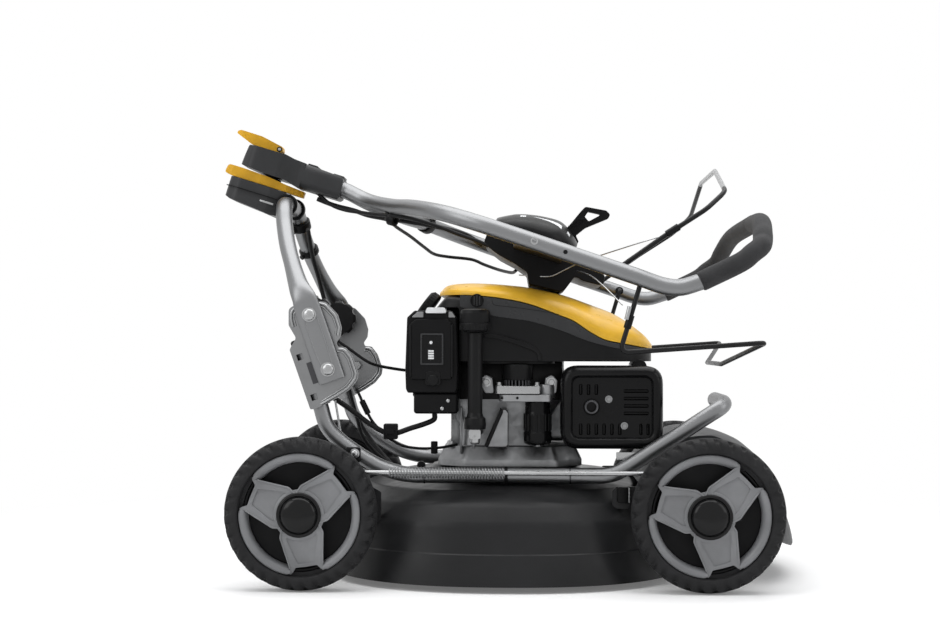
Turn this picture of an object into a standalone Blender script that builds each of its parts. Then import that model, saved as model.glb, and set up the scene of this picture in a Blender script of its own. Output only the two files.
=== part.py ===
"""Petrol lawn mower, folded for transport, as separate solid pieces in metres.

The mower's front is +X, its left side is +Y and +Z is up. The origin is on the ground under the
blade's shaft. Moving pieces keep their origin on the joint's axis where one exists.
"""

import bpy
import bmesh
from math import atan2, cos, pi, radians, sin, sqrt
from mathutils import Matrix, Vector

# Wheels and axles
WHEEL_R = 0.105
TRACK = 0.240
AXLE_X = 0.277
AXLE_Z = 0.105
TYRE_HALF = 0.0235
ARM_Y = 0.196
ARM_X = 0.0763
ARM_Z = 0.0204
LEVER = 0.033
ROD_Y = 0.2075
ROD_R = 0.00325

# Deck
DECK_TOP = 0.1577
EAR_Y = 0.186

# Frame and handles
FRAME_Y = 0.175
FRAME_R = 0.011
TUBE_Z = 0.1524
HANDLE_R = 0.0115
HANDLE_Y = 0.268
LEG_Y = 0.1978
BOLT_LOW = (-0.2455, 0.3010)
BOLT_TOP = (-0.2720, 0.3770)
CROSSBAR = (-0.3280, 0.5440)
JOINT = Vector((-0.3659, 0.0, 0.5606))
JOINT_U = Vector((0.955, 0.0, -0.297)).normalized()
JOINT_W = Vector((0.297, 0.0, 0.955)).normalized()
PANEL = Vector((0.040, 0.0, 0.4745))
PANEL_T = Vector((0.949, 0.0, -0.316)).normalized()
PANEL_N = Vector((0.316, 0.0, 0.949)).normalized()
BRAKE_PIVOT = (0.151, 0.4368)
DRIVE_PIVOT = (0.187, 0.4255)

# Engine
COWL_Z = 0.312
COWL_HALF = 0.146

for old in list(bpy.data.objects):
    bpy.data.objects.remove(old, do_unlink=True)

scene = bpy.context.scene
parts = bpy.data.collections.new("lawn_mower")
scene.collection.children.link(parts)
cutters = bpy.data.collections.new("cutters")
scene.collection.children.link(cutters)

COLOURS = {
    "steel": ((0.42, 0.43, 0.44), 0.9, 0.35),
    "zinc": ((0.50, 0.51, 0.52), 0.9, 0.40),
    "alloy": ((0.60, 0.61, 0.62), 0.9, 0.45),
    "black": ((0.018, 0.018, 0.019), 0.0, 0.50),
    "grey": ((0.050, 0.051, 0.053), 0.0, 0.55),
    "paint": ((0.030, 0.031, 0.033), 0.2, 0.45),
    "rubber": ((0.028, 0.028, 0.029), 0.0, 0.80),
    "foam": ((0.045, 0.045, 0.047), 0.0, 0.90),
    "trim": ((0.21, 0.215, 0.22), 0.3, 0.50),
    "yellow": ((0.76, 0.46, 0.035), 0.0, 0.40),
}


def material_for(name, look):
    colour, metallic, rough = COLOURS[look]
    mat = bpy.data.materials.new(name)
    mat.use_nodes = True
    shader = mat.node_tree.nodes["Principled BSDF"]
    shader.inputs["Base Color"].default_value = (*colour, 1.0)
    shader.inputs["Metallic"].default_value = metallic
    shader.inputs["Roughness"].default_value = rough
    return mat


def put(name, bm, look, origin=None):
    """Turn a bmesh into a named part, with its origin on the given point."""
    bmesh.ops.remove_doubles(bm, verts=bm.verts, dist=1e-6)
    bmesh.ops.recalc_face_normals(bm, faces=bm.faces)
    if origin is not None:
        bmesh.ops.translate(bm, verts=bm.verts, vec=-Vector(origin))
    mesh = bpy.data.meshes.new(name)
    bm.to_mesh(mesh)
    bm.free()
    mesh.shade_smooth()
    mesh.set_sharp_from_angle(angle=radians(35.0))
    ob = bpy.data.objects.new(name, mesh)
    if origin is not None:
        ob.location = Vector(origin)
    if look is None:
        cutters.objects.link(ob)
        ob.hide_render = True
        ob.display_type = "WIRE"
    else:
        mesh.materials.append(material_for(name, look))
        parts.objects.link(ob)
    return ob


def boolean(ob, bm, kind, label):
    """Add or take away a second solid, which stays in the cutters collection."""
    tool = put(ob.name + "_" + label, bm, None)
    mod = ob.modifiers.new(label, "BOOLEAN")
    mod.operation = kind
    mod.solver = "EXACT"
    mod.object = tool


def cut(ob, bm, label):
    boolean(ob, bm, "DIFFERENCE", label)


def join(ob, bm, label):
    boolean(ob, bm, "UNION", label)


def common(ob, bm, label):
    boolean(ob, bm, "INTERSECT", label)


# Outlines and paths


def rounded(points, radius, steps=3):
    """Round the corners of a closed outline. The radius is one number or one per corner."""
    out = []
    count = len(points)
    for i in range(count):
        r = radius[i] if isinstance(radius, (list, tuple)) else radius
        p = Vector(points[i])
        a = Vector(points[i - 1]) - p
        b = Vector(points[(i + 1) % count]) - p
        reach = min(a.length, b.length) * 0.48
        if r <= 0.0:
            out.append(tuple(p))
            continue
        angle = a.angle(b)
        length = min(r / max(1e-6, sin(angle / 2) / cos(angle / 2)), reach)
        start = p + a.normalized() * length
        end = p + b.normalized() * length
        for k in range(steps + 1):
            t = k / steps
            q = start * (1 - t) ** 2 + p * 2 * t * (1 - t) + end * t ** 2
            out.append(tuple(q))
    return out


def ellipse(cx, cy, rx, ry=None, count=16, turn=0.0):
    ry = rx if ry is None else ry
    return [
        (cx + rx * cos(2 * pi * k / count + turn), cy + ry * sin(2 * pi * k / count + turn))
        for k in range(count)
    ]


def box_outline(x0, y0, x1, y1):
    return [(x0, y0), (x1, y0), (x1, y1), (x0, y1)]


def bent(points, radius, steps=5):
    """An open path in space with its corners bent to a radius."""
    pts = [Vector(p) for p in points]
    out = [pts[0]]
    for i in range(1, len(pts) - 1):
        p = pts[i]
        a = pts[i - 1] - p
        b = pts[i + 1] - p
        r = radius[i - 1] if isinstance(radius, (list, tuple)) else radius
        angle = a.angle(b)
        if angle > pi - 0.03 or r <= 0.0:
            out.append(p)
            continue
        length = min(r / (sin(angle / 2) / cos(angle / 2)), a.length * 0.49, b.length * 0.49)
        start = p + a.normalized() * length
        end = p + b.normalized() * length
        for k in range(steps + 1):
            t = k / steps
            out.append(start * (1 - t) ** 2 + p * 2 * t * (1 - t) + end * t ** 2)
    out.append(pts[-1])
    return out


def smooth(points, per=4):
    """A smooth open path through the given points."""
    pts = [Vector(p) for p in points]
    pts = [pts[0] * 2 - pts[1]] + pts + [pts[-1] * 2 - pts[-2]]
    out = []
    for i in range(1, len(pts) - 2):
        a, b, c, d = pts[i - 1: i + 3]
        for k in range(per):
            t = k / per
            out.append(
                0.5 * (b * 2 + (c - a) * t + (a * 2 - b * 5 + c * 4 - d) * t * t
                       + (b * 3 - a - c * 3 + d) * t ** 3)
            )
    out.append(pts[-2])
    return out


def mirrored(path):
    """The path, and then the same path mirrored to the other side, back to its first end."""
    other = [Vector((p[0], -p[1], p[2])) for p in reversed(path)]
    if (Vector(path[-1]) - other[0]).length < 1e-6:
        other = other[1:]
    return [Vector(p) for p in path] + other


# Solids

bench = bpy.data.scenes.new("bench")


def frames(path, side):
    """Directions across a path, carried along it without twist."""
    path = [Vector(p) for p in path]
    count = len(path)
    tangents = []
    for i in range(count):
        a = path[max(0, i - 1)]
        b = path[min(count - 1, i + 1)]
        tangents.append((b - a).normalized())
    first = Vector(side)
    first = (first - tangents[0] * first.dot(tangents[0])).normalized()
    out = []
    for i in range(count):
        if i > 0:
            turn = tangents[i - 1].rotation_difference(tangents[i])
            first = turn @ first
            first = (first - tangents[i] * first.dot(tangents[i])).normalized()
        out.append((first.copy(), tangents[i].cross(first).normalized()))
    return out


def welded(mesh):
    """A mesh as a bmesh with its loose caps and repeated points closed up."""
    bm = bmesh.new()
    bm.from_mesh(mesh)
    bpy.data.meshes.remove(mesh)
    bmesh.ops.remove_doubles(bm, verts=bm.verts, dist=1e-6)
    return bm


def curve_mesh(curve):
    """The surface of a curve as a bmesh. The curve itself is a guide and goes away."""
    guide = bpy.data.objects.new("guide", curve)
    bm = welded(bpy.data.meshes.new_from_object(guide))
    bpy.data.objects.remove(guide, do_unlink=True)
    bpy.data.curves.remove(curve)
    return bm


def sweep(path, radius, resolution=2):
    """A round bar along a path: a curve with a bevel, 4 sides and 2 more for each resolution step."""
    curve = bpy.data.curves.new("sweep", "CURVE")
    curve.dimensions = "3D"
    curve.bevel_depth = radius
    curve.bevel_resolution = resolution
    curve.use_fill_caps = True
    spline = curve.splines.new("POLY")
    spline.points.add(len(path) - 1)
    for point, p in zip(spline.points, path):
        point.co = (p[0], p[1], p[2], 1.0)
    return curve_mesh(curve)


def flattened(path, sizes, sides, side=(0, 1, 0)):
    """A tube of changing section along a path. sizes gives each point its own two half widths."""
    path = [Vector(p) for p in path]
    across = frames(path, side)
    rings = []
    for p, (a, b), (ra, rb) in zip(path, across, sizes):
        angles = [2 * pi * (k + 0.5) / sides for k in range(sides)]
        rings.append([p + a * (ra * cos(t)) + b * (rb * sin(t)) for t in angles])
    return loft(rings)


def plate(outlines, axis, low, high, lift=None):
    """A flat plate: a filled curve with holes, extruded along one axis.

    The outline's two numbers are the other two axes in order. lift(a, b) shifts both faces.
    """
    curve = bpy.data.curves.new("outline", "CURVE")
    curve.dimensions = "2D"
    curve.fill_mode = "BOTH"
    curve.extrude = (high - low) / 2
    for outline in outlines:
        spline = curve.splines.new("POLY")
        spline.points.add(len(outline) - 1)
        for point, p in zip(spline.points, outline):
            point.co = (p[0], p[1], 0.0, 1.0)
        spline.use_cyclic_u = True
    bm = curve_mesh(curve)
    middle = (high + low) / 2
    for v in bm.verts:
        a, b, depth = v.co
        depth += middle + (lift(a, b) if lift is not None else 0.0)
        if axis == "X":
            v.co = (depth, a, b)
        elif axis == "Y":
            v.co = (a, depth, b)
        else:
            v.co = (a, b, depth)
    return bm


def stood(bm, centre, axis, start=0.0):
    """Stand a shape made along +Z on a point, along an axis."""
    w = Vector(axis).normalized()
    u = w.orthogonal().normalized()
    if abs(w.x) < 0.9:
        u = (Vector((1, 0, 0)) - w * w.x).normalized()
    v = w.cross(u)
    basis = Matrix((u, v, w)).transposed().to_4x4()
    bm.transform(Matrix.Translation(Vector(centre)) @ basis @ Matrix.Rotation(start, 4, "Z"))
    return bm


def lathe(profile, centre, axis, sides=24, start=0.0):
    """Turn a closed profile of (radius, height) points around an axis through the centre."""
    bm = bmesh.new()
    verts = [bm.verts.new((r, 0.0, h)) for r, h in profile]
    for i in range(len(verts)):
        a, b = verts[i - 1], verts[i]
        if a.co.x > 1e-7 or b.co.x > 1e-7:
            bm.edges.new((a, b))
    mesh = bpy.data.meshes.new("profile")
    bm.to_mesh(mesh)
    bm.free()
    turned_ob = bpy.data.objects.new("profile", mesh)
    bench.collection.objects.link(turned_ob)
    screw = turned_ob.modifiers.new("turn", "SCREW")
    screw.axis = "Z"
    screw.angle = 2 * pi
    screw.steps = sides
    screw.render_steps = sides
    screw.use_merge_vertices = True
    screw.merge_threshold = 1e-6
    layer = bench.view_layers[0]
    layer.update()
    bm = welded(bpy.data.meshes.new_from_object(turned_ob.evaluated_get(layer.depsgraph)))
    bpy.data.objects.remove(turned_ob, do_unlink=True)
    bpy.data.meshes.remove(mesh)
    return stood(bm, centre, axis, start)


def rod(p, q, radius, sides=12):
    """A plain round bar between two points."""
    p = Vector(p)
    q = Vector(q)
    bm = bmesh.new()
    bmesh.ops.create_cone(
        bm, cap_ends=True, segments=sides, radius1=radius, radius2=radius, depth=(q - p).length,
    )
    return stood(bm, (p + q) / 2, q - p, pi / sides)


def block(low, high, bevel=0.0, turn=None, about=None, steps=2):
    """A box with rounded edges, turned about a point if asked."""
    bm = bmesh.new()
    bmesh.ops.create_cube(bm, size=1.0)
    low = Vector(low)
    high = Vector(high)
    size = high - low
    for v in bm.verts:
        v.co = low + Vector(((v.co.x + 0.5) * size.x, (v.co.y + 0.5) * size.y, (v.co.z + 0.5) * size.z))
    if bevel > 0.0:
        bmesh.ops.bevel(
            bm, geom=list(bm.edges), offset=bevel, segments=steps, profile=0.5, affect="EDGES",
            clamp_overlap=True,
        )
    if turn is not None:
        bmesh.ops.rotate(bm, verts=bm.verts, cent=Vector(about), matrix=turn)
    return bm


def loft(rings):
    """A closed body through rings of points, which all have the same count."""
    bm = bmesh.new()
    made = [[bm.verts.new(p) for p in ring] for ring in rings]
    size = len(made[0])
    for i in range(len(made) - 1):
        for k in range(size):
            n = (k + 1) % size
            bm.faces.new((made[i][k], made[i][n], made[i + 1][n], made[i + 1][k]))
    bm.faces.new(made[0])
    bm.faces.new(made[-1])
    return bm


def merge(*meshes):
    """Several cutters in one mesh, which don't touch each other."""
    whole = bmesh.new()
    for bm in meshes:
        mesh = bpy.data.meshes.new("joined")
        bm.to_mesh(mesh)
        bm.free()
        whole.from_mesh(mesh)
        bpy.data.meshes.remove(mesh)
    return whole


def local(points, origin, along, up):
    """Points given along and up from a slanted origin, as world (x, z) pairs."""
    out = []
    for a, b in points:
        p = origin + along * a + up * b
        out.append((p.x, p.z))
    return out


def polar(radius, degrees):
    return (radius * cos(radians(degrees)), radius * sin(radians(degrees)))


# Wheels

WHEELS = (
    ("front_right", 1, -1, 104.5),
    ("front_left", 1, 1, 96.0),
    ("rear_right", -1, -1, 98.3),
    ("rear_left", -1, 1, 112.0),
)


def wheel_cover_outline():
    """The outside of the three spoke cover, with a notch in the tyre side at each spoke."""
    outline = []
    for w in range(3):
        middle = 120 * w
        for k in range(7):
            outline.append(polar(0.0814, middle - 43.5 + 87 * k / 6))
        outline.append(polar(0.0710, middle + 48.5))
        outline.append(polar(0.0710, middle + 71.5))
    windows = []
    for w in range(3):
        middle = 120 * w
        window = [polar(0.0701, middle - 36 + 72 * k / 5) for k in range(6)]
        window.append(polar(0.0672, middle + 40))
        window.append(polar(0.0395, middle + 12))
        window.append(polar(0.0395, middle - 12))
        window.append(polar(0.0672, middle - 40))
        windows.append(window)
    return outline, windows


for label, fore, side, turn in WHEELS:
    centre = Vector((AXLE_X * fore, TRACK * side, AXLE_Z))
    out = Vector((0, side, 0))
    tyre = [
        (0.0786, -0.0215), (0.0920, -0.0235), (0.1000, -0.0205), (0.1050, -0.0110), (0.1050, 0.0110),
        (0.1000, 0.0205), (0.0920, 0.0235), (0.0860, 0.0210), (0.0835, 0.0120), (0.0786, 0.0120),
    ]
    flat = 1.0 / cos(pi / 24)
    tyre = [(r * flat if r > 0.09 else r, h) for r, h in tyre]
    put("tyre_" + label, lathe(tyre, centre, out, 24, pi / 24), "rubber", centre)
    rim = [
        (0.0065, -0.0235), (0.0210, -0.0235), (0.0240, -0.0050), (0.0700, -0.0050), (0.0730, -0.0190),
        (0.0774, -0.0190), (0.0774, 0.0136), (0.0715, 0.0020), (0.0240, 0.0020), (0.0230, 0.0120),
        (0.0065, 0.0120),
    ]
    put("rim_" + label, lathe(rim, centre, out, 16), "black", centre)
    outline, windows = wheel_cover_outline()
    hub_hole = ellipse(0, 0, 0.0235, count=12)
    spin = radians(turn)

    def turned(points, s=spin, c=centre):
        moved = []
        for x, z in points:
            moved.append((c.x + x * cos(s) - z * sin(s), c.z + x * sin(s) + z * cos(s)))
        return moved

    def dish(x, z, c=centre, s=side):
        r = sqrt((x - c.x) ** 2 + (z - c.z) ** 2)
        return -s * 0.0045 * max(0.0, (r - 0.034) / 0.047) ** 1.5

    loops = [turned(outline), turned(hub_hole)] + [turned(w) for w in windows]
    low = TRACK * side + side * 0.0185
    high = TRACK * side + side * 0.0225
    cover = plate(loops, "Y", min(low, high), max(low, high), dish)
    put("wheel_cover_" + label, cover, "trim", centre)
    cap = [
        (0.0, 0.0229), (0.0305, 0.0229), (0.0290, 0.0258), (0.0256, 0.0262), (0.0215, 0.0308),
        (0.0110, 0.0336), (0.0, 0.0340),
    ]
    put("hub_cap_" + label, lathe(cap, centre, out, 16), "black", centre)

# Deck: a dome, round on top and squarer below, with a flared skirt, ears for the axle arms and a tie
# bar at the front

DOME = [
    (0.0300, DECK_TOP), (0.1080, DECK_TOP), (0.1150, 0.1500), (0.1600, 0.1470), (0.1760, 0.1385),
    (0.2050, 0.1325), (0.2280, 0.1170), (0.2450, 0.0910), (0.2525, 0.0520), (0.2640, 0.0090),
]
DOME_IN = [
    (0.2605, 0.0090), (0.2495, 0.0515), (0.2421, 0.0898), (0.2258, 0.1148), (0.2038, 0.1296),
    (0.1754, 0.1354), (0.1592, 0.1440), (0.1135, 0.1471), (0.1068, 0.1547), (0.0300, 0.1547),
]
DOME_SIDES = 32
ROUND_Z = 0.1420
SQUARE_Z = 0.1150
SQUARENESS = 2.3


def squared(bm):
    """Push a turned dome's lower part out to a plan with flatter sides."""
    for v in bm.verts:
        r = sqrt(v.co.x ** 2 + v.co.y ** 2)
        if r < 1e-6:
            continue
        share = min(1.0, max(0.0, (ROUND_Z - v.co.z) / (ROUND_Z - SQUARE_Z)))
        n = 2.0 + (SQUARENESS - 2.0) * share
        push = (abs(v.co.x / r) ** n + abs(v.co.y / r) ** n) ** (-1.0 / n)
        v.co.x *= push
        v.co.y *= push
    return bm


deck = put("deck", squared(lathe(DOME + DOME_IN, (0, 0, 0), (0, 0, 1), DOME_SIDES)), "paint", (0, 0, 0))
EAR_FRONT = [
    (0.150, 0.1080), (0.150, 0.1330), (0.156, 0.1385), (0.362, 0.1405), (0.378, 0.1280), (0.380, 0.1120),
    (0.372, 0.1030), (0.345, 0.1110), (0.335, 0.1170), (0.176, 0.1170), (0.172, 0.1080),
]
EAR_REAR = [(-0.172, 0.0880), (-0.172, 0.1300), (-0.190, 0.1400), (-0.212, 0.1405), (-0.2250, 0.1290),
            (-0.2220, 0.1080), (-0.1950, 0.0850)]
ears = []
for side in (-1, 1):
    for ear, x in ((EAR_FRONT, AXLE_X + ARM_X), (EAR_REAR, -AXLE_X + ARM_X)):
        hole = ellipse(x, AXLE_Z + ARM_Z, 0.0065, count=10)
        ears.append(plate([ear, hole], "Y", side * EAR_Y - 0.002, side * EAR_Y + 0.002))
join(deck, merge(*ears), "ears")
join(deck, rod((0.359, -0.187, 0.110), (0.359, 0.187, 0.110), 0.0055, 10), "tie")

# Front cowl: a hood over the front axle, its nose round in plan

COWL_TOP = [
    (0.1880, 0.1420), (0.2060, 0.1660), (0.2360, 0.1920), (0.2680, 0.2050), (0.2990, 0.2085),
    (0.3160, 0.2070), (0.3416, 0.1970), (0.3586, 0.1845), (0.3757, 0.1685), (0.3909, 0.1460),
    (0.4090, 0.1050), (0.4200, 0.0720), (0.4250, 0.0480), (0.4235, 0.0400),
]
COWL_IN = [
    (0.4200, 0.0400), (0.4214, 0.0485), (0.4165, 0.0710), (0.3879, 0.1440), (0.3730, 0.1660),
    (0.3563, 0.1817), (0.3399, 0.1939), (0.3152, 0.2037), (0.2688, 0.2018), (0.2376, 0.1892),
    (0.1905, 0.1405),
]
COWL_REAR = 0.188
COWL_SIDE = 0.158
NOSE = 0.148


def nosed(x, y):
    """A point of the cowl's middle line, drawn back where the nose is round."""
    return COWL_REAR + (x - COWL_REAR) * (1.0 - NOSE * (abs(y) / COWL_SIDE) ** 2.2)


cowl_y = (-COWL_SIDE, -0.1380, -0.1050, -0.0600, 0.0, 0.0600, 0.1050, 0.1380, COWL_SIDE)
front_cowl = put("front_cowl", loft([[(nosed(x, y), y, z) for x, z in COWL_TOP + COWL_IN] for y in cowl_y]),
                 "grey")
wall_y = COWL_SIDE - 0.0015
wall = [(nosed(x, wall_y), z) for x, z in COWL_TOP[:10]]
wall += [(0.3520, 0.1420), (0.3300, 0.1500), (0.2150, 0.1500), (0.2000, 0.1450)]
for side in (-1, 1):
    join(front_cowl, plate([wall], "Y", side * wall_y - 0.0015, side * wall_y + 0.0015), "wall")
envelope = [(r + 0.0006, z + 0.0006) for r, z in DOME] + [(0.2646, -0.01), (0.03, -0.01)]
cut(front_cowl, squared(lathe(envelope, (0, 0, 0), (0, 0, 1), DOME_SIDES)), "dome")

# Frame tubes

DOWN = [
    (-0.2883, 0.3350), (-0.2490, 0.2200), (-0.2260, 0.1960), (-0.1830, 0.1680), (-0.1500, 0.1560),
    (-0.1250, TUBE_Z),
]
path = [Vector((x, -FRAME_Y, z)) for x, z in DOWN]
path += [Vector((0.1400, -FRAME_Y, TUBE_Z)), Vector((0.1560, -FRAME_Y, 0.1560)),
         Vector((0.1750, -FRAME_Y, 0.1665)), Vector((0.2500, -FRAME_Y, 0.2145)),
         Vector((0.2850, -FRAME_Y, 0.2375)), Vector((0.3010, -0.1730, 0.2475)),
         Vector((0.3080, -0.1600, 0.2525)), Vector((0.3095, -0.1420, 0.2545)),
         Vector((0.3095, -0.0500, 0.2550))]
put("frame_tube_right", sweep(path, FRAME_R, 3), "steel")
path = [Vector((x, FRAME_Y, z)) for x, z in DOWN]
path += [Vector((0.0350, FRAME_Y, TUBE_Z)), Vector((0.0560, FRAME_Y, 0.1515)),
         Vector((0.0800, FRAME_Y, 0.1490))]
sizes = [(FRAME_R, FRAME_R)] * (len(path) - 3) + [(FRAME_R, FRAME_R), (0.0125, 0.0075), (0.0150, 0.0035)]
put("frame_tube_left", flattened(path, sizes, 10), "steel")

# Fold brackets, which hold the lower handle to the frame tubes

BRACKET = [
    (-0.2860, 0.3943), (-0.3023, 0.3860), (-0.3023, 0.3624), (-0.2916, 0.3443), (-0.2985, 0.3330),
    (-0.3006, 0.3276), (-0.2711, 0.2442), (-0.2580, 0.2480), (-0.2332, 0.2609), (-0.2158, 0.2727),
    (-0.2054, 0.2859), (-0.2040, 0.2956), (-0.2123, 0.3193), (-0.2221, 0.3318), (-0.2330, 0.3325),
    (-0.2350, 0.3380), (-0.2290, 0.3471), (-0.2276, 0.3596), (-0.2332, 0.3776), (-0.2498, 0.3949),
    (-0.2624, 0.3971),
]
SPINE_LOW = Vector((-0.2590, 0.0, 0.2490))
SPINE_TOP = Vector((-0.2850, 0.0, 0.3251))


def slot_arc(radius, half_width, low, high, count=5):
    """A curved slot around the lower bolt."""
    outer = []
    inner = []
    for k in range(count):
        angle = radians(low + (high - low) * k / (count - 1))
        outer.append((BOLT_LOW[0] + (radius + half_width) * cos(angle),
                      BOLT_LOW[1] + (radius + half_width) * sin(angle)))
        inner.append((BOLT_LOW[0] + (radius - half_width) * cos(angle),
                      BOLT_LOW[1] + (radius - half_width) * sin(angle)))
    return outer + list(reversed(inner))


slot_middle = atan2(BOLT_TOP[1] - BOLT_LOW[1], BOLT_TOP[0] - BOLT_LOW[0]) * 180 / pi
slot_radius = sqrt((BOLT_TOP[0] - BOLT_LOW[0]) ** 2 + (BOLT_TOP[1] - BOLT_LOW[1]) ** 2)
for label, side in (("right", -1), ("left", 1)):
    slot = slot_arc(slot_radius, 0.0045, slot_middle - 3.5, slot_middle + 11.5)
    hole = ellipse(BOLT_LOW[0], BOLT_LOW[1], 0.0044, count=12)
    low, high = sorted((side * 0.1885, side * 0.1915))
    shape = rounded(BRACKET, [0.008, 0.008, 0.008, 0, 0, 0, 0, 0, 0, 0, 0, 0.004, 0, 0, 0, 0, 0, 0.004, 0,
                              0.008, 0], 2)
    bracket = put("fold_bracket_" + label, plate([shape, slot, hole], "Y", low, high), "zinc")
    foot = SPINE_LOW + Vector((0, side * FRAME_Y, 0))
    head = SPINE_TOP + Vector((0, side * FRAME_Y, 0))
    length = (head - foot).length
    sleeve = [(0.0117, 0.0), (0.0148, 0.0), (0.0148, length), (0.0117, length)]
    join(bracket, lathe(sleeve, foot, head - foot, 14, pi / 14), "sleeve")
    tilt = Matrix.Rotation(radians(18.7), 3, "Y").inverted()
    for where in ((-0.2860, 0.3180), (-0.2660, 0.2620)):
        low, high = sorted((side * 0.1800, side * 0.1950))
        window = block((where[0] - 0.0045, low, where[1] - 0.0045),
                       (where[0] + 0.0045, high, where[1] + 0.0045), 0.0, tilt, (where[0], 0, where[1]))
        cut(bracket, window, "window")

# Axles with their arms


def arm(pivot, axle, lever):
    """The outline of an axle arm, with a lever above its pivot if asked."""
    px, pz = pivot
    ax, az = axle
    d = (Vector((ax - px, az - pz))).normalized()
    n = Vector((-d.y, d.x))
    if n.y < 0:
        n = -n
    outline = []
    corners = [
        (Vector(axle) + d * 0.015 + n * 0.006), (Vector(axle) + d * 0.006 + n * 0.014),
        (Vector(axle) + n * 0.0145 - d * 0.006),
    ]
    if lever:
        corners += [Vector((px - 0.012, pz + 0.009)), Vector((px - 0.007, pz + LEVER + 0.004)),
                    Vector((px, pz + LEVER + 0.0075)), Vector((px + 0.007, pz + LEVER + 0.004)),
                    Vector((px + 0.011, pz + 0.006))]
    else:
        corners += [Vector((px - 0.006, pz + 0.011)), Vector((px + 0.006, pz + 0.011)),
                    Vector((px + 0.0115, pz + 0.005))]
    corners += [Vector((px + 0.011, pz - 0.006)), Vector((px + 0.002, pz - 0.012)),
                Vector(axle) - n * 0.0145 - d * 0.004, Vector(axle) - n * 0.014 + d * 0.006,
                Vector(axle) + d * 0.015 - n * 0.006]
    for c in corners:
        outline.append((c.x, c.y))
    return outline


for label, fore in (("front_axle", 1), ("rear_axle", -1)):
    ax = AXLE_X * fore
    px = ax + ARM_X
    pz = AXLE_Z + ARM_Z
    half = [(0.0, 0.2600), (0.0100, 0.2600), (0.0100, 0.2526), (0.0061, 0.2526), (0.0061, 0.2160),
            (0.0095, 0.2160), (0.0080, 0.1980)]
    profile = half + [(r, -y) for r, y in reversed(half)]
    axle = put(label, lathe(profile, (ax, 0, AXLE_Z), (0, 1, 0), 10), "steel", (px, 0, pz))
    for side in (-1, 1):
        outline = arm((px, pz), (ax, AXLE_Z), side < 0)
        low, high = sorted((side * (ARM_Y - 0.0022), side * (ARM_Y + 0.0022)))
        join(axle, plate([outline], "Y", low, high), "arm")
        join(axle, rod((px, side * 0.1790, pz), (px, side * 0.2010, pz), 0.0061, 10), "pin")
    top = (px, -ARM_Y, pz + LEVER)
    join(axle, rod(top, (px, -0.2125, pz + LEVER), 0.0030, 12), "rod_pin")

gearbox = put("gearbox", block((-0.3360, -0.0550, 0.0900), (-0.2655, 0.0480, 0.1560), 0.009), "alloy",
              (-AXLE_X + ARM_X, 0, AXLE_Z + ARM_Z))
join(gearbox, rod((-0.3060, -0.0200, 0.1500), (-0.3060, -0.0200, 0.1760), 0.0200, 20), "tower")
cut(gearbox, rod((-AXLE_X, -0.1, AXLE_Z), (-AXLE_X, 0.1, AXLE_Z), 0.0086, 16), "bore")

# Height rod and its spring

rod_z = AXLE_Z + ARM_Z + LEVER
rear_pin = -AXLE_X + ARM_X
front_pin = AXLE_X + ARM_X
height_rod = put("height_rod",
                 rod((rear_pin, -ROD_Y, rod_z), (front_pin, -ROD_Y, rod_z), ROD_R, 12), "steel",
                 (rear_pin, -ROD_Y, rod_z))
for x in (rear_pin, front_pin):
    eye = rod((x, -ROD_Y - 0.0028, rod_z), (x, -ROD_Y + 0.0028, rod_z), 0.0068, 16)
    join(height_rod, eye, "eye")
    cut(height_rod, rod((x, -0.2200, rod_z), (x, -0.1990, rod_z), 0.0033, 16), "hole")

SPRING_R = 0.0072
SPRING_WIRE = 0.0009
SPRING_X0 = -0.1600
SPRING_X1 = 0.0010
TURNS = 40
coil = []
for k in range(TURNS * 5 + 1):
    t = k / (TURNS * 5)
    angle = 2 * pi * TURNS * t
    coil.append(Vector((SPRING_X0 + (SPRING_X1 - SPRING_X0) * t, -ROD_Y + SPRING_R * cos(angle),
                        rod_z + SPRING_R * sin(angle))))
put("height_spring", sweep(coil, SPRING_WIRE, 0), "zinc")
pitch = (SPRING_X1 - SPRING_X0) / TURNS
print("height spring: turns", TURNS, "pitch mm", round(pitch * 1000, 3),
      "least gap to itself mm", round((pitch - 2 * SPRING_WIRE) * 1000, 3))

# Engine

flange = rounded([(-0.0988, -0.070), (-0.060, -0.100), (0.075, -0.100), (0.1125, -0.066), (0.1125, 0.066),
                  (0.075, 0.100), (-0.060, 0.100), (-0.0988, 0.070)], 0.016, 2)
rings = []
for z, shrink in ((0.1582, 1.0), (0.1680, 1.0), (0.1885, 0.90)):
    rings.append([(0.0068 + (x - 0.0068) * shrink, y * shrink, z) for x, y in flange])
crankcase = put("crankcase", loft(rings), "alloy")
rings = []
for z, x0, x1, y in ((0.1770, -0.0740, 0.0660, 0.0860), (0.2150, -0.0660, 0.0640, 0.0840),
                     (0.2520, -0.0900, 0.0800, 0.0900), (0.2900, -0.0940, 0.0860, 0.0920),
                     (0.3116, -0.0940, 0.0860, 0.0920)):
    rings.append([(a, b, z) for a, b in rounded(box_outline(x0, -y, x1, y), 0.022, 2)])
join(crankcase, loft(rings), "body")
join(crankcase, block((0.0600, -0.0500, 0.1930), (0.1900, 0.0500, 0.2900), 0.008), "cylinder")
fins = [block((x, -0.0640, 0.1860), (x + 0.0030, 0.0640, 0.2960)) for x in (0.096, 0.108, 0.120, 0.132, 0.144)]
join(crankcase, merge(*fins), "fins")
cut(crankcase, rod((0, 0, 0.1400), (0, 0, 0.3000), 0.0130, 20), "shaft_bore")

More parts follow.
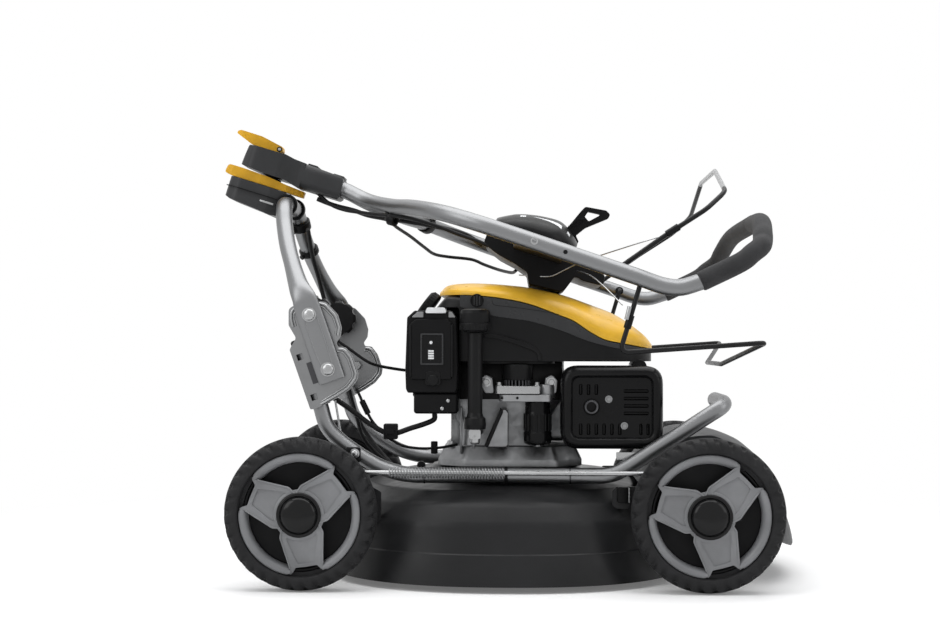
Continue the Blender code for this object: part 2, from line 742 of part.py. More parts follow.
EDGE = [
    (-0.0950, 0.4070), (-0.0510, 0.4066), (-0.0085, 0.4027), (0.0340, 0.3942), (0.0765, 0.3786),
    (0.0978, 0.3701), (0.1190, 0.3559), (0.1403, 0.3442), (0.1573, 0.3400), (0.1850, 0.3350),
    (0.2070, 0.3310),
]
CROWN = [
    (-0.0950, 0.4150), (-0.0840, 0.4240), (-0.0560, 0.4268), (-0.0250, 0.4262), (0.0050, 0.4240),
    (0.0360, 0.4205), (0.0810, 0.4110), (0.1260, 0.3955), (0.1640, 0.3800), (0.2010, 0.3540),
    (0.2140, 0.3390),
]


def level(points, x):
    """The height of a contour at x, kept level past its ends."""
    if x <= points[0][0]:
        return points[0][1]
    for (x0, z0), (x1, z1) in zip(points, points[1:]):
        if x <= x1:
            return z0 + (z1 - z0) * (x - x0) / (x1 - x0)
    return points[-1][1]


def plan_half(x, x0, x1, half, corner):
    """Half the width of a plan outline with round corners."""
    if x < x0 + corner:
        d = (x0 + corner - x) / corner
        return half - corner * (1 - sqrt(max(0.0, 1 - d * d)))
    if x > x1 - corner:
        d = (x - x1 + corner) / corner
        return half - corner * (1 - sqrt(max(0.0, 1 - d * d)))
    return half


SHARED = [-0.086, -0.070, -0.045, -0.010, 0.034, 0.0765, 0.0978, 0.119, 0.1403, 0.1573, 0.180, 0.198,
          0.208]


def hood(xs, half, corner, low, high, arch, across=8):
    """A closed body over a round cornered plan between two height rules."""
    bm = bmesh.new()
    tops = []
    bottoms = []
    for x in xs:
        y_half = max(0.006, plan_half(x, xs[0], xs[-1], half, corner))
        top = []
        bottom = []
        for k in range(across + 1):
            t = -cos(pi * k / across)
            y = y_half * t
            crown = (1 - abs(t) ** arch) ** (1 / arch) if arch > 0 else 1.0
            z0 = low(x)
            z1 = high(x, y)
            top.append(bm.verts.new((x, y, z0 + 0.0012 + (z1 - z0 - 0.0012) * crown)))
            bottom.append(bm.verts.new((x, y, z0)))
        tops.append(top)
        bottoms.append(bottom)
    for i in range(len(tops) - 1):
        for k in range(across):
            bm.faces.new((tops[i][k], tops[i][k + 1], tops[i + 1][k + 1], tops[i + 1][k]))
            bm.faces.new((bottoms[i][k + 1], bottoms[i][k], bottoms[i + 1][k], bottoms[i + 1][k + 1]))
        for k in (0, across):
            bm.faces.new((tops[i][k], bottoms[i][k], bottoms[i + 1][k], tops[i + 1][k]))
    for end in (0, -1):
        for k in range(across):
            bm.faces.new((tops[end][k], tops[end][k + 1], bottoms[end][k + 1], bottoms[end][k]))
    return bm


cover = hood([-0.0960, -0.0935] + SHARED + [0.2120, 0.2140], 0.1460, 0.0700, lambda x: level(EDGE, x),
             lambda x, y: level(CROWN, x), 2.6)
put("engine_cover", cover, "yellow")
cowl = hood([-0.1190, -0.1165, -0.1080, -0.0960] + SHARED + [0.2115, 0.2130], COWL_HALF, 0.0700,
            lambda x: COWL_Z,
            lambda x, y: min(level(EDGE, x) - 0.0008, 0.4058 - max(0.0, -0.0850 - x) * 1.15), 9.0)
engine_cowl = put("engine_cowl", cowl, "grey")

cap_axis = Vector((-0.80, 0.0, 0.60)).normalized()
cap_at = Vector((-0.1075, -0.0520, 0.3880))
cap = [(0.0, 0.0), (0.0100, 0.0), (0.0215, 0.0005), (0.0225, 0.0040), (0.0215, 0.0135), (0.0180, 0.0165),
       (0.0, 0.0175)]
put("fuel_cap", lathe(cap, cap_at, cap_axis, 20), "black", cap_at)
cut(engine_cowl, block((-0.2000, -0.2000, 0.3000), (-0.0650, -0.0955, 0.3890)), "battery_room")
cut(engine_cowl, lathe([(0, -0.0006), (0.0240, -0.0006), (0.0240, 0.04), (0, 0.04)], cap_at, cap_axis, 20),
    "cap_seat")

# Muffler and its guard

guard_shape = rounded(box_outline(0.0790, 0.1900, 0.2230, 0.3070), 0.024, 3)
guard = put("muffler_guard", plate([guard_shape], "Y", -0.1633, -0.1080), "black")
face = rounded(box_outline(0.0930, 0.2040, 0.2090, 0.2930), 0.012, 2)
cut(guard, plate([face], "Y", -0.1800, -0.1575), "recess")
room = rounded(box_outline(0.0840, 0.1950, 0.2180, 0.3020), 0.018, 2)
cut(guard, plate([room], "Y", -0.1545, -0.1000), "room")
slots = []
for k in range(3):
    slots.append(block((0.1050 + 0.0110 * k, -0.19, 0.2650), (0.1110 + 0.0110 * k, -0.145, 0.2800)))
for k in range(6):
    slots.append(block((0.1050 + 0.0125 * k, -0.19, 0.2085), (0.1110 + 0.0125 * k, -0.145, 0.2246)))
for k in range(4):
    slots.append(block((0.1680, -0.19, 0.2360 + 0.0110 * k), (0.2040, -0.145, 0.2420 + 0.0110 * k)))
cut(guard, merge(*slots), "slots")
cut(guard, rod((0.1225, -0.19, 0.2480), (0.1225, -0.145, 0.2480), 0.0120, 16), "outlet")
muffler = put("muffler", block((0.0900, -0.1500, 0.2020), (0.2120, -0.0900, 0.2960), 0.014), "steel")
join(muffler, rod((0.1225, -0.1400, 0.2480), (0.1225, -0.1610, 0.2480), 0.0085, 16), "outlet")
join(muffler, rod((0.1500, -0.1000, 0.2450), (0.1500, -0.0642, 0.2450), 0.0140, 16), "pipe")

# Battery and its holder

holder = put("battery_holder", block((-0.1290, -0.1570, 0.2375), (-0.0660, -0.0960, 0.2668), 0.004), "black")
join(holder, block((-0.1330, -0.1180, 0.2600), (-0.0680, -0.0960, 0.3800), 0.003), "back")
pack = put("battery_pack", block((-0.1410, -0.1650, 0.2672), (-0.0655, -0.1184, 0.3840), 0.006), "black",
           (-0.1033, -0.1417, 0.3256))
frame_low = rounded(box_outline(-0.1190, 0.3070, -0.0870, 0.3510), 0.002, 1)
join(pack, plate([frame_low], "Y", -0.1660, -0.1600), "screen")
join(pack, block((-0.1130, -0.1672, 0.3815), (-0.0815, -0.1350, 0.3880), 0.0015), "latch")
join(pack, rod((-0.1020, -0.1600, 0.2850), (-0.1020, -0.1672, 0.2850), 0.0080, 12), "button")

# Oil filler and dipstick

fx, fy = -0.0415, -0.1710
filler = [
    (0.0, 0.1960), (0.0060, 0.1960), (0.0060, 0.2160), (0.0150, 0.2170), (0.0150, 0.2340), (0.0105, 0.2380),
    (0.0105, 0.3524), (0.0076, 0.3524), (0.0076, 0.2200), (0.0, 0.2200),
]
tube = put("oil_filler_tube", lathe(filler, (fx, fy, 0), (0, 0, 1), 16), "black")
join(tube, rod((fx, fy, 0.2100), (fx + 0.004, -0.0870, 0.2100), 0.0058, 12), "neck")
stick = [
    (0.0, 0.2280), (0.0022, 0.2280), (0.0022, 0.3400), (0.0070, 0.3430), (0.0070, 0.3529), (0.0145, 0.3529),
    (0.0205, 0.3600), (0.0215, 0.3660), (0.0215, 0.3800), (0.0180, 0.3855), (0.0, 0.3860),
]
put("dipstick", lathe(stick, (fx, fy, 0), (0, 0, 1), 16), "black", (fx, fy, 0.3529))

# Starter

sx, sy = 0.0470, -0.1240
starter = [
    (0.0, 0.1925), (0.0150, 0.1925), (0.0200, 0.1960), (0.0200, 0.2350), (0.0180, 0.2400), (0.0180, 0.2540),
    (0.0, 0.2540),
]
put("starter_motor", lathe(starter, (sx, sy, 0), (0, 0, 1), 20), "black")
shape = rounded([(-0.0130, -0.1480), (0.0680, -0.1480), (0.0680, -0.0945), (-0.0130, -0.0945)], 0.014, 3)
gear_case = put("starter_housing", plate([shape], "Z", 0.2543, 0.2795), "alloy")
join(gear_case, rod((0.0180, -0.1230, 0.2700), (0.0180, -0.1230, 0.3117), 0.0225, 20), "drum")
cut(crankcase, plate([rounded(box_outline(-0.0140, -0.1500, 0.0690, -0.0940), 0.01, 1)], "Z", 0.2536, 0.2802),
    "starter_room")

air = hood([-0.0850, -0.0830, -0.0770, -0.0670, 0.0370, 0.0470, 0.0530, 0.0550], 0.0260, 0.0180,
           lambda x: 0.2420, lambda x, y: 0.3100, 6.0, 6)
bmesh.ops.translate(air, verts=air.verts, vec=(0, 0.1205, 0))
put("air_filter_cover", air, "black")

# Blade and its shaft

shaft = [(0.0, 0.0640), (0.0125, 0.0640), (0.0125, 0.2980), (0.0, 0.2980)]
put("crankshaft", lathe(shaft, (0, 0, 0), (0, 0, 1), 20), "steel")
hub = [(0.0128, 0.0450), (0.0280, 0.0450), (0.0300, 0.0520), (0.0220, 0.0580), (0.0200, 0.0900),
       (0.0128, 0.0900)]
put("blade_holder", lathe(hub, (0, 0, 0), (0, 0, 1), 20), "steel")
rings = []
for x, front, back, lift in ((-0.2360, 0.0180, -0.0200, 0.0), (-0.1750, 0.0260, -0.0260, 0.0),
                             (-0.1500, 0.0280, -0.0280, 0.0), (0.1500, 0.0280, -0.0280, 0.0),
                             (0.1750, 0.0260, -0.0260, 0.0), (0.2360, 0.0200, -0.0180, 0.0)):
    near = abs(x) > 0.17
    up = (0.009 if abs(x) > 0.2 else 0.005) if near else 0.0
    low_lift = up if x < 0 else 0.0
    high_lift = up if x > 0 else 0.0
    rings.append([(x, back, 0.0400 + low_lift), (x, 0.0, 0.0400), (x, front, 0.0400 + high_lift),
                  (x, front, 0.0446 + high_lift), (x, 0.0, 0.0446), (x, back, 0.0446 + low_lift)])
blade = put("blade", loft(rings), "steel")
cut(blade, rod((0, 0, 0.0300), (0, 0, 0.0600), 0.0067, 16), "hole")
bolt = [(0.0, 0.0290), (0.0110, 0.0290), (0.0120, 0.0300), (0.0120, 0.0362), (0.0190, 0.0364),
        (0.0190, 0.0396), (0.0063, 0.0396), (0.0063, 0.0636), (0.0, 0.0636)]
put("blade_bolt", lathe(bolt, (0, 0, 0), (0, 0, 1), 18), "steel")

# Lower handle with its bolts

leg = [(CROSSBAR[0], -0.0001, CROSSBAR[1]), (CROSSBAR[0], -0.0440, CROSSBAR[1]),
       (-0.3277, -0.0640, 0.5410), (-0.3258, -0.0820, 0.5290), (-0.3225, -0.0965, 0.5090),
       (-0.3140, -0.1230, 0.4780), (-0.3035, -0.1480, 0.4500), (-0.2935, -0.1730, 0.4260),
       (-0.2865, -0.1900, 0.4120), (-0.2792, -LEG_Y - 0.0007, 0.3990), (-0.2745, -LEG_Y, 0.3840),
       (-0.2630, -LEG_Y, 0.3510), (-0.2400, -LEG_Y, 0.2850)]
leg = [Vector(p) for p in leg]
half_sizes = [(0.012, 0.012)] * 8 + [(0.0100, 0.0126), (0.0062, 0.0138), (0.0055, 0.0142), (0.0055, 0.0142),
                                     (0.0055, 0.0142)]
path = [leg[i] for i in range(len(leg) - 1, 0, -1)] + [Vector((p.x, -p.y, p.z)) for p in leg[1:]]
sizes = [half_sizes[i] for i in range(len(leg) - 1, 0, -1)] + half_sizes[1:]
lower = put("lower_handle", flattened(path, sizes, 8), "steel",
            (BOLT_LOW[0], 0, BOLT_LOW[1]))
for side in (-1, 1):
    for x, z, inner in ((*BOLT_TOP, 0.1500), (*BOLT_LOW, 0.1830)):
        dome = [(0.0, 0.0), (0.0041, 0.0), (0.0041, 0.2020 - inner), (0.0084, 0.2028 - inner),
                (0.0070, 0.2062 - inner), (0.0, 0.2078 - inner)]
        join(lower, lathe(dome, (x, side * inner, z), (0, side, 0), 12), "bolt")
    nut = [(0.0, 0.1800), (0.0075, 0.1800), (0.0075, 0.1878), (0.0, 0.1878)]
    join(lower, lathe(nut, (BOLT_LOW[0], 0, BOLT_LOW[1]), (0, side, 0), 6), "nut")

for label, side in (("right", -1), ("left", 1)):
    knob = [(0.0046, 0.0), (0.0120, 0.0), (0.0125, -0.0235), (0.0260, -0.0245), (0.0285, -0.0275),
            (0.0285, -0.0390), (0.0250, -0.0425), (0.0, -0.0435), (0.0, -0.0390), (0.0046, -0.0390)]
    at = Vector((BOLT_TOP[0], side * 0.1878, BOLT_TOP[1]))
    put("clamp_knob_" + label, lathe(knob, at, (0, side, 0), 16), "black", at)

# Handle joint: base on the cross bar, turning head, and two clamp levers


def joint_prism(points, half, holes=()):
    """A slab with a side outline in the joint's slanted frame, half wide in Y."""
    shape = local(points, JOINT, JOINT_U, JOINT_W)
    return plate([shape] + [local(h, JOINT, JOINT_U, JOINT_W) for h in holes], "Y", -half, half)


def joint_plan(points, low, high):
    """A slab with a plan outline in the joint's slanted frame, between two heights."""
    bm = plate([points], "Z", low, high)
    basis = Matrix((JOINT_U, Vector((0, 1, 0)), JOINT_W)).transposed()
    for v in bm.verts:
        v.co = JOINT + basis @ v.co
    return bm


plan = rounded([(-0.0555, -0.0300), (-0.0400, -0.0420), (0.0100, -0.0420), (0.0420, -0.0330), (0.0420, 0.0330),
                (0.0100, 0.0420), (-0.0400, 0.0420), (-0.0555, 0.0300)], 0.016, 3)
base_side = [(-0.0545, 0.0135), (-0.0560, -0.0165), (-0.0450, -0.0203), (-0.0050, -0.0235),
             (0.0200, -0.0262), (0.0330, -0.0240), (0.0395, -0.0180), (0.0405, 0.0000), (0.0330, 0.0130)]
pivot = Vector((CROSSBAR[0], 0, CROSSBAR[1]))
base = put("joint_base", joint_prism(base_side, 0.0440), "black", pivot)
common(base, joint_plan(plan, -0.05, 0.05), "plan")
cut(base, rod((CROSSBAR[0], -0.06, CROSSBAR[1]), (CROSSBAR[0], 0.06, CROSSBAR[1]), 0.0124, 16), "bore")
join(base, lathe([(0, 0.0100), (0.0150, 0.0100), (0.0150, 0.0300), (0.0100, 0.0300), (0.0100, 0.0560),
                  (0, 0.0560)], JOINT, JOINT_W, 20), "boss")

head_side = [(-0.0468, 0.0350), (-0.0420, 0.0665), (0.0160, 0.0680), (0.0300, 0.0655), (0.1060, 0.0610),
             (0.1090, 0.0570), (0.1110, 0.0310), (0.1080, 0.0265), (0.0450, 0.0262), (0.0250, 0.0310),
             (-0.0100, 0.0312)]
head_plan = rounded([(-0.0468, -0.0260), (-0.0320, -0.0400), (0.0120, -0.0400), (0.0420, -0.0290),
                     (0.1130, -0.0290), (0.1130, 0.0290), (0.0420, 0.0290), (0.0120, 0.0400),
                     (-0.0320, 0.0400), (-0.0468, 0.0260)], 0.012, 3)
head = put("joint_head", joint_prism(head_side, 0.0420), "black", JOINT)
common(head, joint_plan(head_plan, 0.0, 0.09), "plan")
cut(head, lathe([(0, 0.0200), (0.0104, 0.0200), (0.0104, 0.0563), (0, 0.0563)], JOINT, JOINT_W, 20), "bore")
seat = []
for y in (-0.0130, 0.0130):
    p = JOINT + JOINT_U * 0.0420 + JOINT_W * 0.0440 + Vector((0, y, 0))
    q = JOINT + JOINT_U * 0.1300 + JOINT_W * 0.0440 + Vector((0, y, 0))
    seat.append(rod(p, q, 0.0121, 16))
cut(head, seat[0], "seat_right")
cut(head, seat[1], "seat_left")

lever_shape = [(0.0560, -0.0070), (0.0560, 0.0070), (0.0450, 0.0100), (0.0250, 0.0000), (0.0200, -0.0190),
               (-0.0250, -0.0200), (-0.0560, -0.0060), (-0.0660, -0.0080), (-0.0670, -0.0240),
               (-0.0560, -0.0330), (-0.0100, -0.0360), (0.0300, -0.0290), (0.0480, -0.0150)]
tilt_pivot = JOINT + JOINT_U * 0.0500 + JOINT_W * 0.0180
tilt_lever = put("tilt_lever", joint_plan(rounded(lever_shape, 0.004, 2), 0.0142, 0.0300), "yellow", tilt_pivot)
wedge = [(-0.0680, 0.0165), (-0.0640, 0.0300), (-0.0400, 0.0300), (0.0000, 0.0282), (0.0300, 0.0247),
         (0.0570, 0.0235), (0.0570, 0.0138), (0.0000, 0.0138), (-0.0500, 0.0138)]
common(tilt_lever, joint_prism(wedge, 0.06), "wedge")

cam = JOINT + JOINT_W * 0.0745
swivel_side = [(0.0030, 0.0692), (0.0056, 0.0726), (0.0030, 0.0790), (-0.0300, 0.0850), (-0.0640, 0.0850),
               (-0.0690, 0.0825), (-0.0690, 0.0790), (-0.0420, 0.0690)]
swivel_lever = put("swivel_lever", joint_prism(swivel_side, 0.0200), "yellow", cam)
swivel_plan = rounded([(0.0090, -0.0100), (-0.0150, -0.0150), (-0.0600, -0.0190), (-0.0700, -0.0120),
                       (-0.0700, 0.0120), (-0.0600, 0.0190), (-0.0150, 0.0150), (0.0090, 0.0100)], 0.006, 2)
common(swivel_lever, joint_plan(swivel_plan, 0.05, 0.10), "plan")

# Upper handle, one loop, and its foam grip

start = JOINT + JOINT_U * 0.0450 + JOINT_W * 0.0440 + Vector((0, -0.0130, 0))
mouth = JOINT + JOINT_U * 0.1170 + JOINT_W * 0.0440 + Vector((0, -0.0130, 0))
run = [start] + smooth([
    mouth, (-0.2050, -0.0330, 0.5500), (-0.1650, -0.0900, 0.5375), (-0.1300, -0.1560, 0.5300),
    (-0.0850, -0.2300, 0.5165), (-0.0350, -0.2620, 0.4998), (0.0200, -HANDLE_Y, 0.4812),
], 2)[:-1]
run += [Vector((0.0200, -HANDLE_Y, 0.4812)), Vector((0.1000, -HANDLE_Y, 0.4541))]
rear_end = smooth([
    (0.1800, -HANDLE_Y, 0.4270), (0.2130, -HANDLE_Y, 0.4155), (0.2370, -HANDLE_Y, 0.4130),
    (0.2633, -HANDLE_Y, 0.4205),
], 2)
grip = smooth([
    (0.2633, -HANDLE_Y, 0.4205), (0.3163, -HANDLE_Y, 0.4463), (0.3330, -0.2660, 0.4590),
    (0.3447, -0.2580, 0.4678), (0.3500, -0.2440, 0.4745), (0.3540, -0.2200, 0.4877),
    (0.3620, -0.1500, 0.5085), (0.3735, 0.0, 0.5185),
], 2)
half_path = run + rear_end[:-1] + grip
whole = mirrored(half_path)
put("upper_handle", sweep(whole, HANDLE_R), "steel", JOINT)
first = len(run) + len(rear_end) - 1
last = len(whole) - first
foam_path = whole[first:last]
foam = put("grip_foam", sweep(foam_path, 0.0140), "foam", JOINT)
cut(foam, sweep(whole, HANDLE_R + 0.0004), "bore")

# Control panel

shell = [
    (-0.0700, 0.0200), (-0.0715, -0.0140), (-0.0437, -0.0236), (-0.0196, -0.0277), (0.0023, -0.0341),
    (0.0107, -0.0500), (0.0572, -0.0460), (0.0634, -0.0400), (0.0711, -0.0173), (0.0843, -0.0205),
    (0.1080, -0.0186), (0.1144, -0.0150), (0.1116, -0.0022), (0.0750, 0.0050), (0.0587, 0.0230),
]


def panel_prism(points, low, high):
    return plate([local(points, PANEL, PANEL_T, PANEL_N)], "Y", low, high)


def panel_box(t0, t1, y0, y1, n0, n1, bevel=0.0):
    bm = block((t0, y0, n0), (t1, y1, n1), bevel)
    basis = Matrix((PANEL_T, Vector((0, 1, 0)), PANEL_N)).transposed()
    for v in bm.verts:
        v.co = PANEL + basis @ v.co
    return bm


panel = put("control_panel", panel_prism(shell, -0.0900, 0.0900), "black", JOINT)
for side in (-1, 1):
    low, high = sorted((side * 0.0850, side * 0.2558))
    join(panel, panel_box(-0.0280, 0.0460, low, high, -0.0080, 0.0085, 0.003), "wing")
basis = Matrix((PANEL_T, Vector((0, 1, 0)), PANEL_N)).transposed()
DOME_LINE = [
    (-0.0660, 0.0330), (-0.0500, 0.0420), (-0.0371, 0.0481), (-0.0136, 0.0543), (0.0077, 0.0573),
    (0.0236, 0.0577), (0.0342, 0.0543), (0.0424, 0.0490), (0.0600, 0.0350),
]
rows = [-0.0660, -0.0640, -0.0570, -0.0440, -0.0250, 0.0, 0.0220, 0.0390, 0.0520, 0.0580, 0.0600]
crown_top = hood(rows, 0.1080, 0.0550, lambda x: 0.0200, lambda x, y: level(DOME_LINE, x), 2.2)
for v in crown_top.verts:
    v.co = PANEL + basis @ v.co
join(panel, crown_top, "dome")

throttle_axis = PANEL + PANEL_T * 0.0300 + PANEL_N * 0.0280
lever_out = [(0.0932, 0.5129), (0.1142, 0.5383), (0.1201, 0.5442), (0.1515, 0.5383), (0.1575, 0.5323),
             (0.1545, 0.5263), (0.1201, 0.5121), (0.1022, 0.4979)]
lever_hole = [(0.1165, 0.5270), (0.1240, 0.5352), (0.1420, 0.5310), (0.1240, 0.5205)]
throttle = put("throttle_lever",
               plate([rounded(lever_out, 0.003, 2), lever_hole], "Y", -0.0060, 0.0060), "black",
               (throttle_axis.x, 0, throttle_axis.z))
slot_box = panel_box(0.0100, 0.0900, -0.0072, 0.0072, 0.0130, 0.0800)
cut(panel, slot_box, "lever_slot")
shank = panel_prism([(0.0190, 0.0190), (0.0300, 0.0140), (0.0460, 0.0240), (0.0620, 0.0370), (0.0520, 0.0480),
                     (0.0360, 0.0400), (0.0220, 0.0340)], -0.0060, 0.0060)
join(throttle, shank, "shank")

# Bails

arm_y = 0.2556
in_y = 0.2470
brake = [
    (BRAKE_PIVOT[0], -arm_y, BRAKE_PIVOT[1]), (BRAKE_PIVOT[0], -in_y, BRAKE_PIVOT[1]),
    (0.2180, -in_y, 0.4840), (0.2740, -in_y, 0.5200), (0.3025, -0.2260, 0.5460), (0.3050, -0.0870, 0.5890),
]
brake_path = bent(brake, [0.004, 0.0, 0.035, 0.030], 3)
brake_path = mirrored(brake_path)
put("brake_bail", sweep(brake_path, 0.0034, 1), "black", (BRAKE_PIVOT[0], 0, BRAKE_PIVOT[1]))
drive = [
    (DRIVE_PIVOT[0], -arm_y, DRIVE_PIVOT[1]), (DRIVE_PIVOT[0], -in_y, DRIVE_PIVOT[1]),
    (0.1570, -in_y, 0.3250), (0.3540, -in_y, 0.3390), (0.3140, -0.0870, 0.3080),
]
drive_path = bent(drive, [0.004, 0.010, 0.008], 3)
drive_path = mirrored(drive_path)
put("drive_bail", sweep(drive_path, 0.0034, 1), "black", (DRIVE_PIVOT[0], 0, DRIVE_PIVOT[1]))

# Cables


def cable(name, points, radius, per=2):
    put(name, sweep(smooth(points, per), radius), "rubber")


cable("handle_cable", [
    (-0.0360, -0.0500, 0.4840), (-0.0600, -0.0700, 0.4980), (-0.0950, -0.0850, 0.5070),
    (-0.1350, -0.0800, 0.5150), (-0.1700, -0.0560, 0.5215), (-0.2050, -0.0300, 0.5290),
    (-0.2300, -0.0160, 0.5380), (-0.2600, -0.0120, 0.5460), (-0.2860, -0.0120, 0.5560),
], 0.0035)
cable("leg_cable", [
    (-0.3100, 0.0600, 0.5150), (-0.3080, 0.1000, 0.4750), (-0.3020, 0.1230, 0.4450),
    (-0.2970, 0.1360, 0.4200), (-0.2814, 0.1385, 0.3596), (-0.2653, 0.1400, 0.2950),
    (-0.2507, 0.1400, 0.2467), (-0.2380, 0.1390, 0.2140), (-0.2220, 0.1370, 0.1880),
    (-0.2020, 0.1270, 0.1640), (-0.1800, 0.1130, 0.1420),
], 0.0035)
cable("engine_cable", [
    (-0.2440, -0.1500, 0.2600), (-0.2203, -0.1490, 0.2437), (-0.1919, -0.1480, 0.2224),
    (-0.1649, -0.1470, 0.2082), (-0.1521, -0.1460, 0.2100), (-0.1350, -0.1440, 0.2160),
    (-0.1130, -0.1410, 0.2230), (-0.1010, -0.1395, 0.2290), (-0.1000, -0.1395, 0.2369),
], 0.0038)

bpy.data.scenes.remove(bench)
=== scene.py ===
"""Looks of the folded petrol lawn mower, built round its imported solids. Metres, +X front, +Z up."""

from math import atan2, cos, pi, radians, sin, sqrt

import bmesh
import bpy
from mathutils import Matrix, Vector
from mathutils.geometry import tessellate_polygon


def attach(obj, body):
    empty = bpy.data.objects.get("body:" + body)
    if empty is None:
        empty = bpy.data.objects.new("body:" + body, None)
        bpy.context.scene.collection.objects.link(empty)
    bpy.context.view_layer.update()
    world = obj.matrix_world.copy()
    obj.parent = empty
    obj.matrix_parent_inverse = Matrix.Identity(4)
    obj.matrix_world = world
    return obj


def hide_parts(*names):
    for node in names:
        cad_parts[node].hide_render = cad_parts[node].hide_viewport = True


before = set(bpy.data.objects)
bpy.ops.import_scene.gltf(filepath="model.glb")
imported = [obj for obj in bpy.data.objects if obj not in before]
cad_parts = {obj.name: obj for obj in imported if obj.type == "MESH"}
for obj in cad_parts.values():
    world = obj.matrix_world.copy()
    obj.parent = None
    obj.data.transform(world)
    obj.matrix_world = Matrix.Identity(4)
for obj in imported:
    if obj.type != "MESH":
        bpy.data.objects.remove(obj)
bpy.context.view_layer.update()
SIDES = ((-1, "right"), (1, "left"))
ORIGIN = (0, 0, 0)
UP = (0, 0, 1)
RIGHT = (0, -1, 0)


def mm(data):
    """Nested millimetres as metres."""
    if isinstance(data, (list, tuple)):
        return type(data)((mm(part) for part in data))
    return round(data / 1000, 7)


TRACK = 0.24
AXLE_X = 0.277
AXLE_Z = 0.105
ARM_Y = 0.196
ARM_X = 0.0763
ARM_HALF = 0.0022
ARM_Z = 0.0204
LEVER = 0.033
ROD_Y = 0.2075
FRAME_Y = 0.175
FRAME_R = 0.011
TUBE_Z = 0.1524
HANDLE_R = 0.0115
HANDLE_Y = 0.268
LEG_Y = 0.1978
BOLT_LOW = (-0.2455, 0.301)
BOLT_TOP = (-0.272, 0.377)
CROSSBAR = (-0.328, 0.544)
JOINT = Vector((-0.3659, 0.0, 0.5606))
JOINT_U = Vector((0.955, 0.0, -0.297)).normalized()
JOINT_W = Vector((0.297, 0.0, 0.955)).normalized()
PANEL = Vector((0.04, 0.0, 0.4745))
PANEL_T = Vector((0.949, 0.0, -0.316)).normalized()
PANEL_N = Vector((0.316, 0.0, 0.949)).normalized()
BRAKE_PIVOT = (0.151, 0.4368)
DRIVE_PIVOT = (0.187, 0.4255)

# Materials


def add_node(tree, kind, inputs=None, **settings):
    """A shader node with its own settings, and inputs given as values or as other nodes' sockets."""
    node = tree.nodes.new("ShaderNode" + kind)
    for key, value in settings.items():
        setattr(node, key, value)
    for key, value in (inputs or {}).items():
        if isinstance(value, bpy.types.NodeSocket):
            tree.links.new(value, node.inputs[key])
        else:
            node.inputs[key].default_value = value
    return node


class Look:
    """One Principled material with procedural detail in object coordinates."""

    def __init__(self, name, colour, rough, metallic=0.0, coat=0.0, specular=0.5):
        self.mat = bpy.data.materials.new(name)
        self.mat.use_nodes = True
        self.tree = self.mat.node_tree
        self.shader = self.tree.nodes["Principled BSDF"]
        self.colour = colour
        self.rough = rough
        for key, value in (("Base Color", (*colour, 1.0)), ("Roughness", rough), ("Metallic", metallic),
                ("Coat Weight", coat), ("Coat Roughness", 0.15), ("Specular IOR Level", specular)):
            self.shader.inputs[key].default_value = value
        self.place = add_node(self.tree, "TexCoord").outputs["Object"]
        self.normal = None

    def drive(self, key, socket):
        self.tree.links.new(socket, self.shader.inputs[key])

    def noise(self, scale, detail=3.0, rough=0.55):
        inputs = {"Scale": scale, "Detail": detail, "Roughness": rough, "Vector": self.place}
        return add_node(self.tree, "TexNoise", inputs).outputs["Fac"]

    def cells(self, scale):
        inputs = {"Scale": scale, "Vector": self.place}
        return add_node(self.tree, "TexVoronoi", inputs).outputs["Distance"]

    def spread(self, fac, low, high, to_low, to_high):
        inputs = {"From Min": low, "From Max": high, "To Min": to_low, "To Max": to_high, "Value": fac}
        return add_node(self.tree, "MapRange", inputs).outputs["Result"]

    def tone(self, fac, darker, lighter):
        """Colour between a darker and a lighter tone of the base colour."""
        dark, light = [(*[min(1.0, c * share) for c in self.colour], 1.0) for share in (darker, lighter)]
        inputs = {"A": dark, "B": light, "Factor": self.spread(fac, 0.35, 0.65, 0.0, 1.0)}
        self.drive("Base Color", add_node(self.tree, "Mix", inputs, data_type="RGBA").outputs["Result"])

    def gloss(self, fac, amount):
        """Roughness that wanders by an amount to either side."""
        low, high = (max(0.02, self.rough - amount), min(1.0, self.rough + amount))
        self.drive("Roughness", self.spread(fac, 0.3, 0.7, low, high))

    def bump(self, fac, height, strength=1.0):
        """Relief, on top of any relief that is there already."""
        inputs = {"Strength": strength, "Distance": height, "Height": fac}
        if self.normal is not None:
            inputs["Normal"] = self.normal
        self.normal = add_node(self.tree, "Bump", inputs).outputs["Normal"]
        self.drive("Normal", self.normal)

    def finish(self, cloud, tones, patches, amount, grain, height):
        """Cloudy tone, uneven gloss and fine relief. Cloud, patches and grain are noises."""
        self.tone(self.noise(*cloud), *tones)
        self.gloss(self.noise(*patches), amount)
        self.bump(self.noise(*grain), height)
        return self.mat


def grained(name, colour, rough, grain=900.0, height=6e-05, coat=0.0, specular=0.5):
    """Moulded plastic with a fine grain and a faint cloud of tone."""
    look = Look(name, colour, rough, 0.0, coat, specular)
    return look.finish((14.0, 4.0), (0.86, 1.16), (60.0, 3.0), 0.06, (grain, 2.0, 0.6), height)


def metal(name, colour, rough, tone=0.1, height=2e-05, spread=0.09):
    """Drawn or plated metal with a fine grain."""
    look = Look(name, colour, rough, 1.0)
    return look.finish((9.0, 4.0), (1.0 - tone, 1.0 + tone), (240.0, 3.0, 0.6), spread,
        (600.0, 2.0, 0.6), height)


def cast(name, colour, rough):
    """Sand cast alloy with an uneven skin."""
    look = Look(name, colour, rough, 0.85)
    return look.finish((26.0, 5.0), (0.8, 1.14), (120.0, 3.0), 0.1, (620.0, 3.0, 0.65), 0.00016)


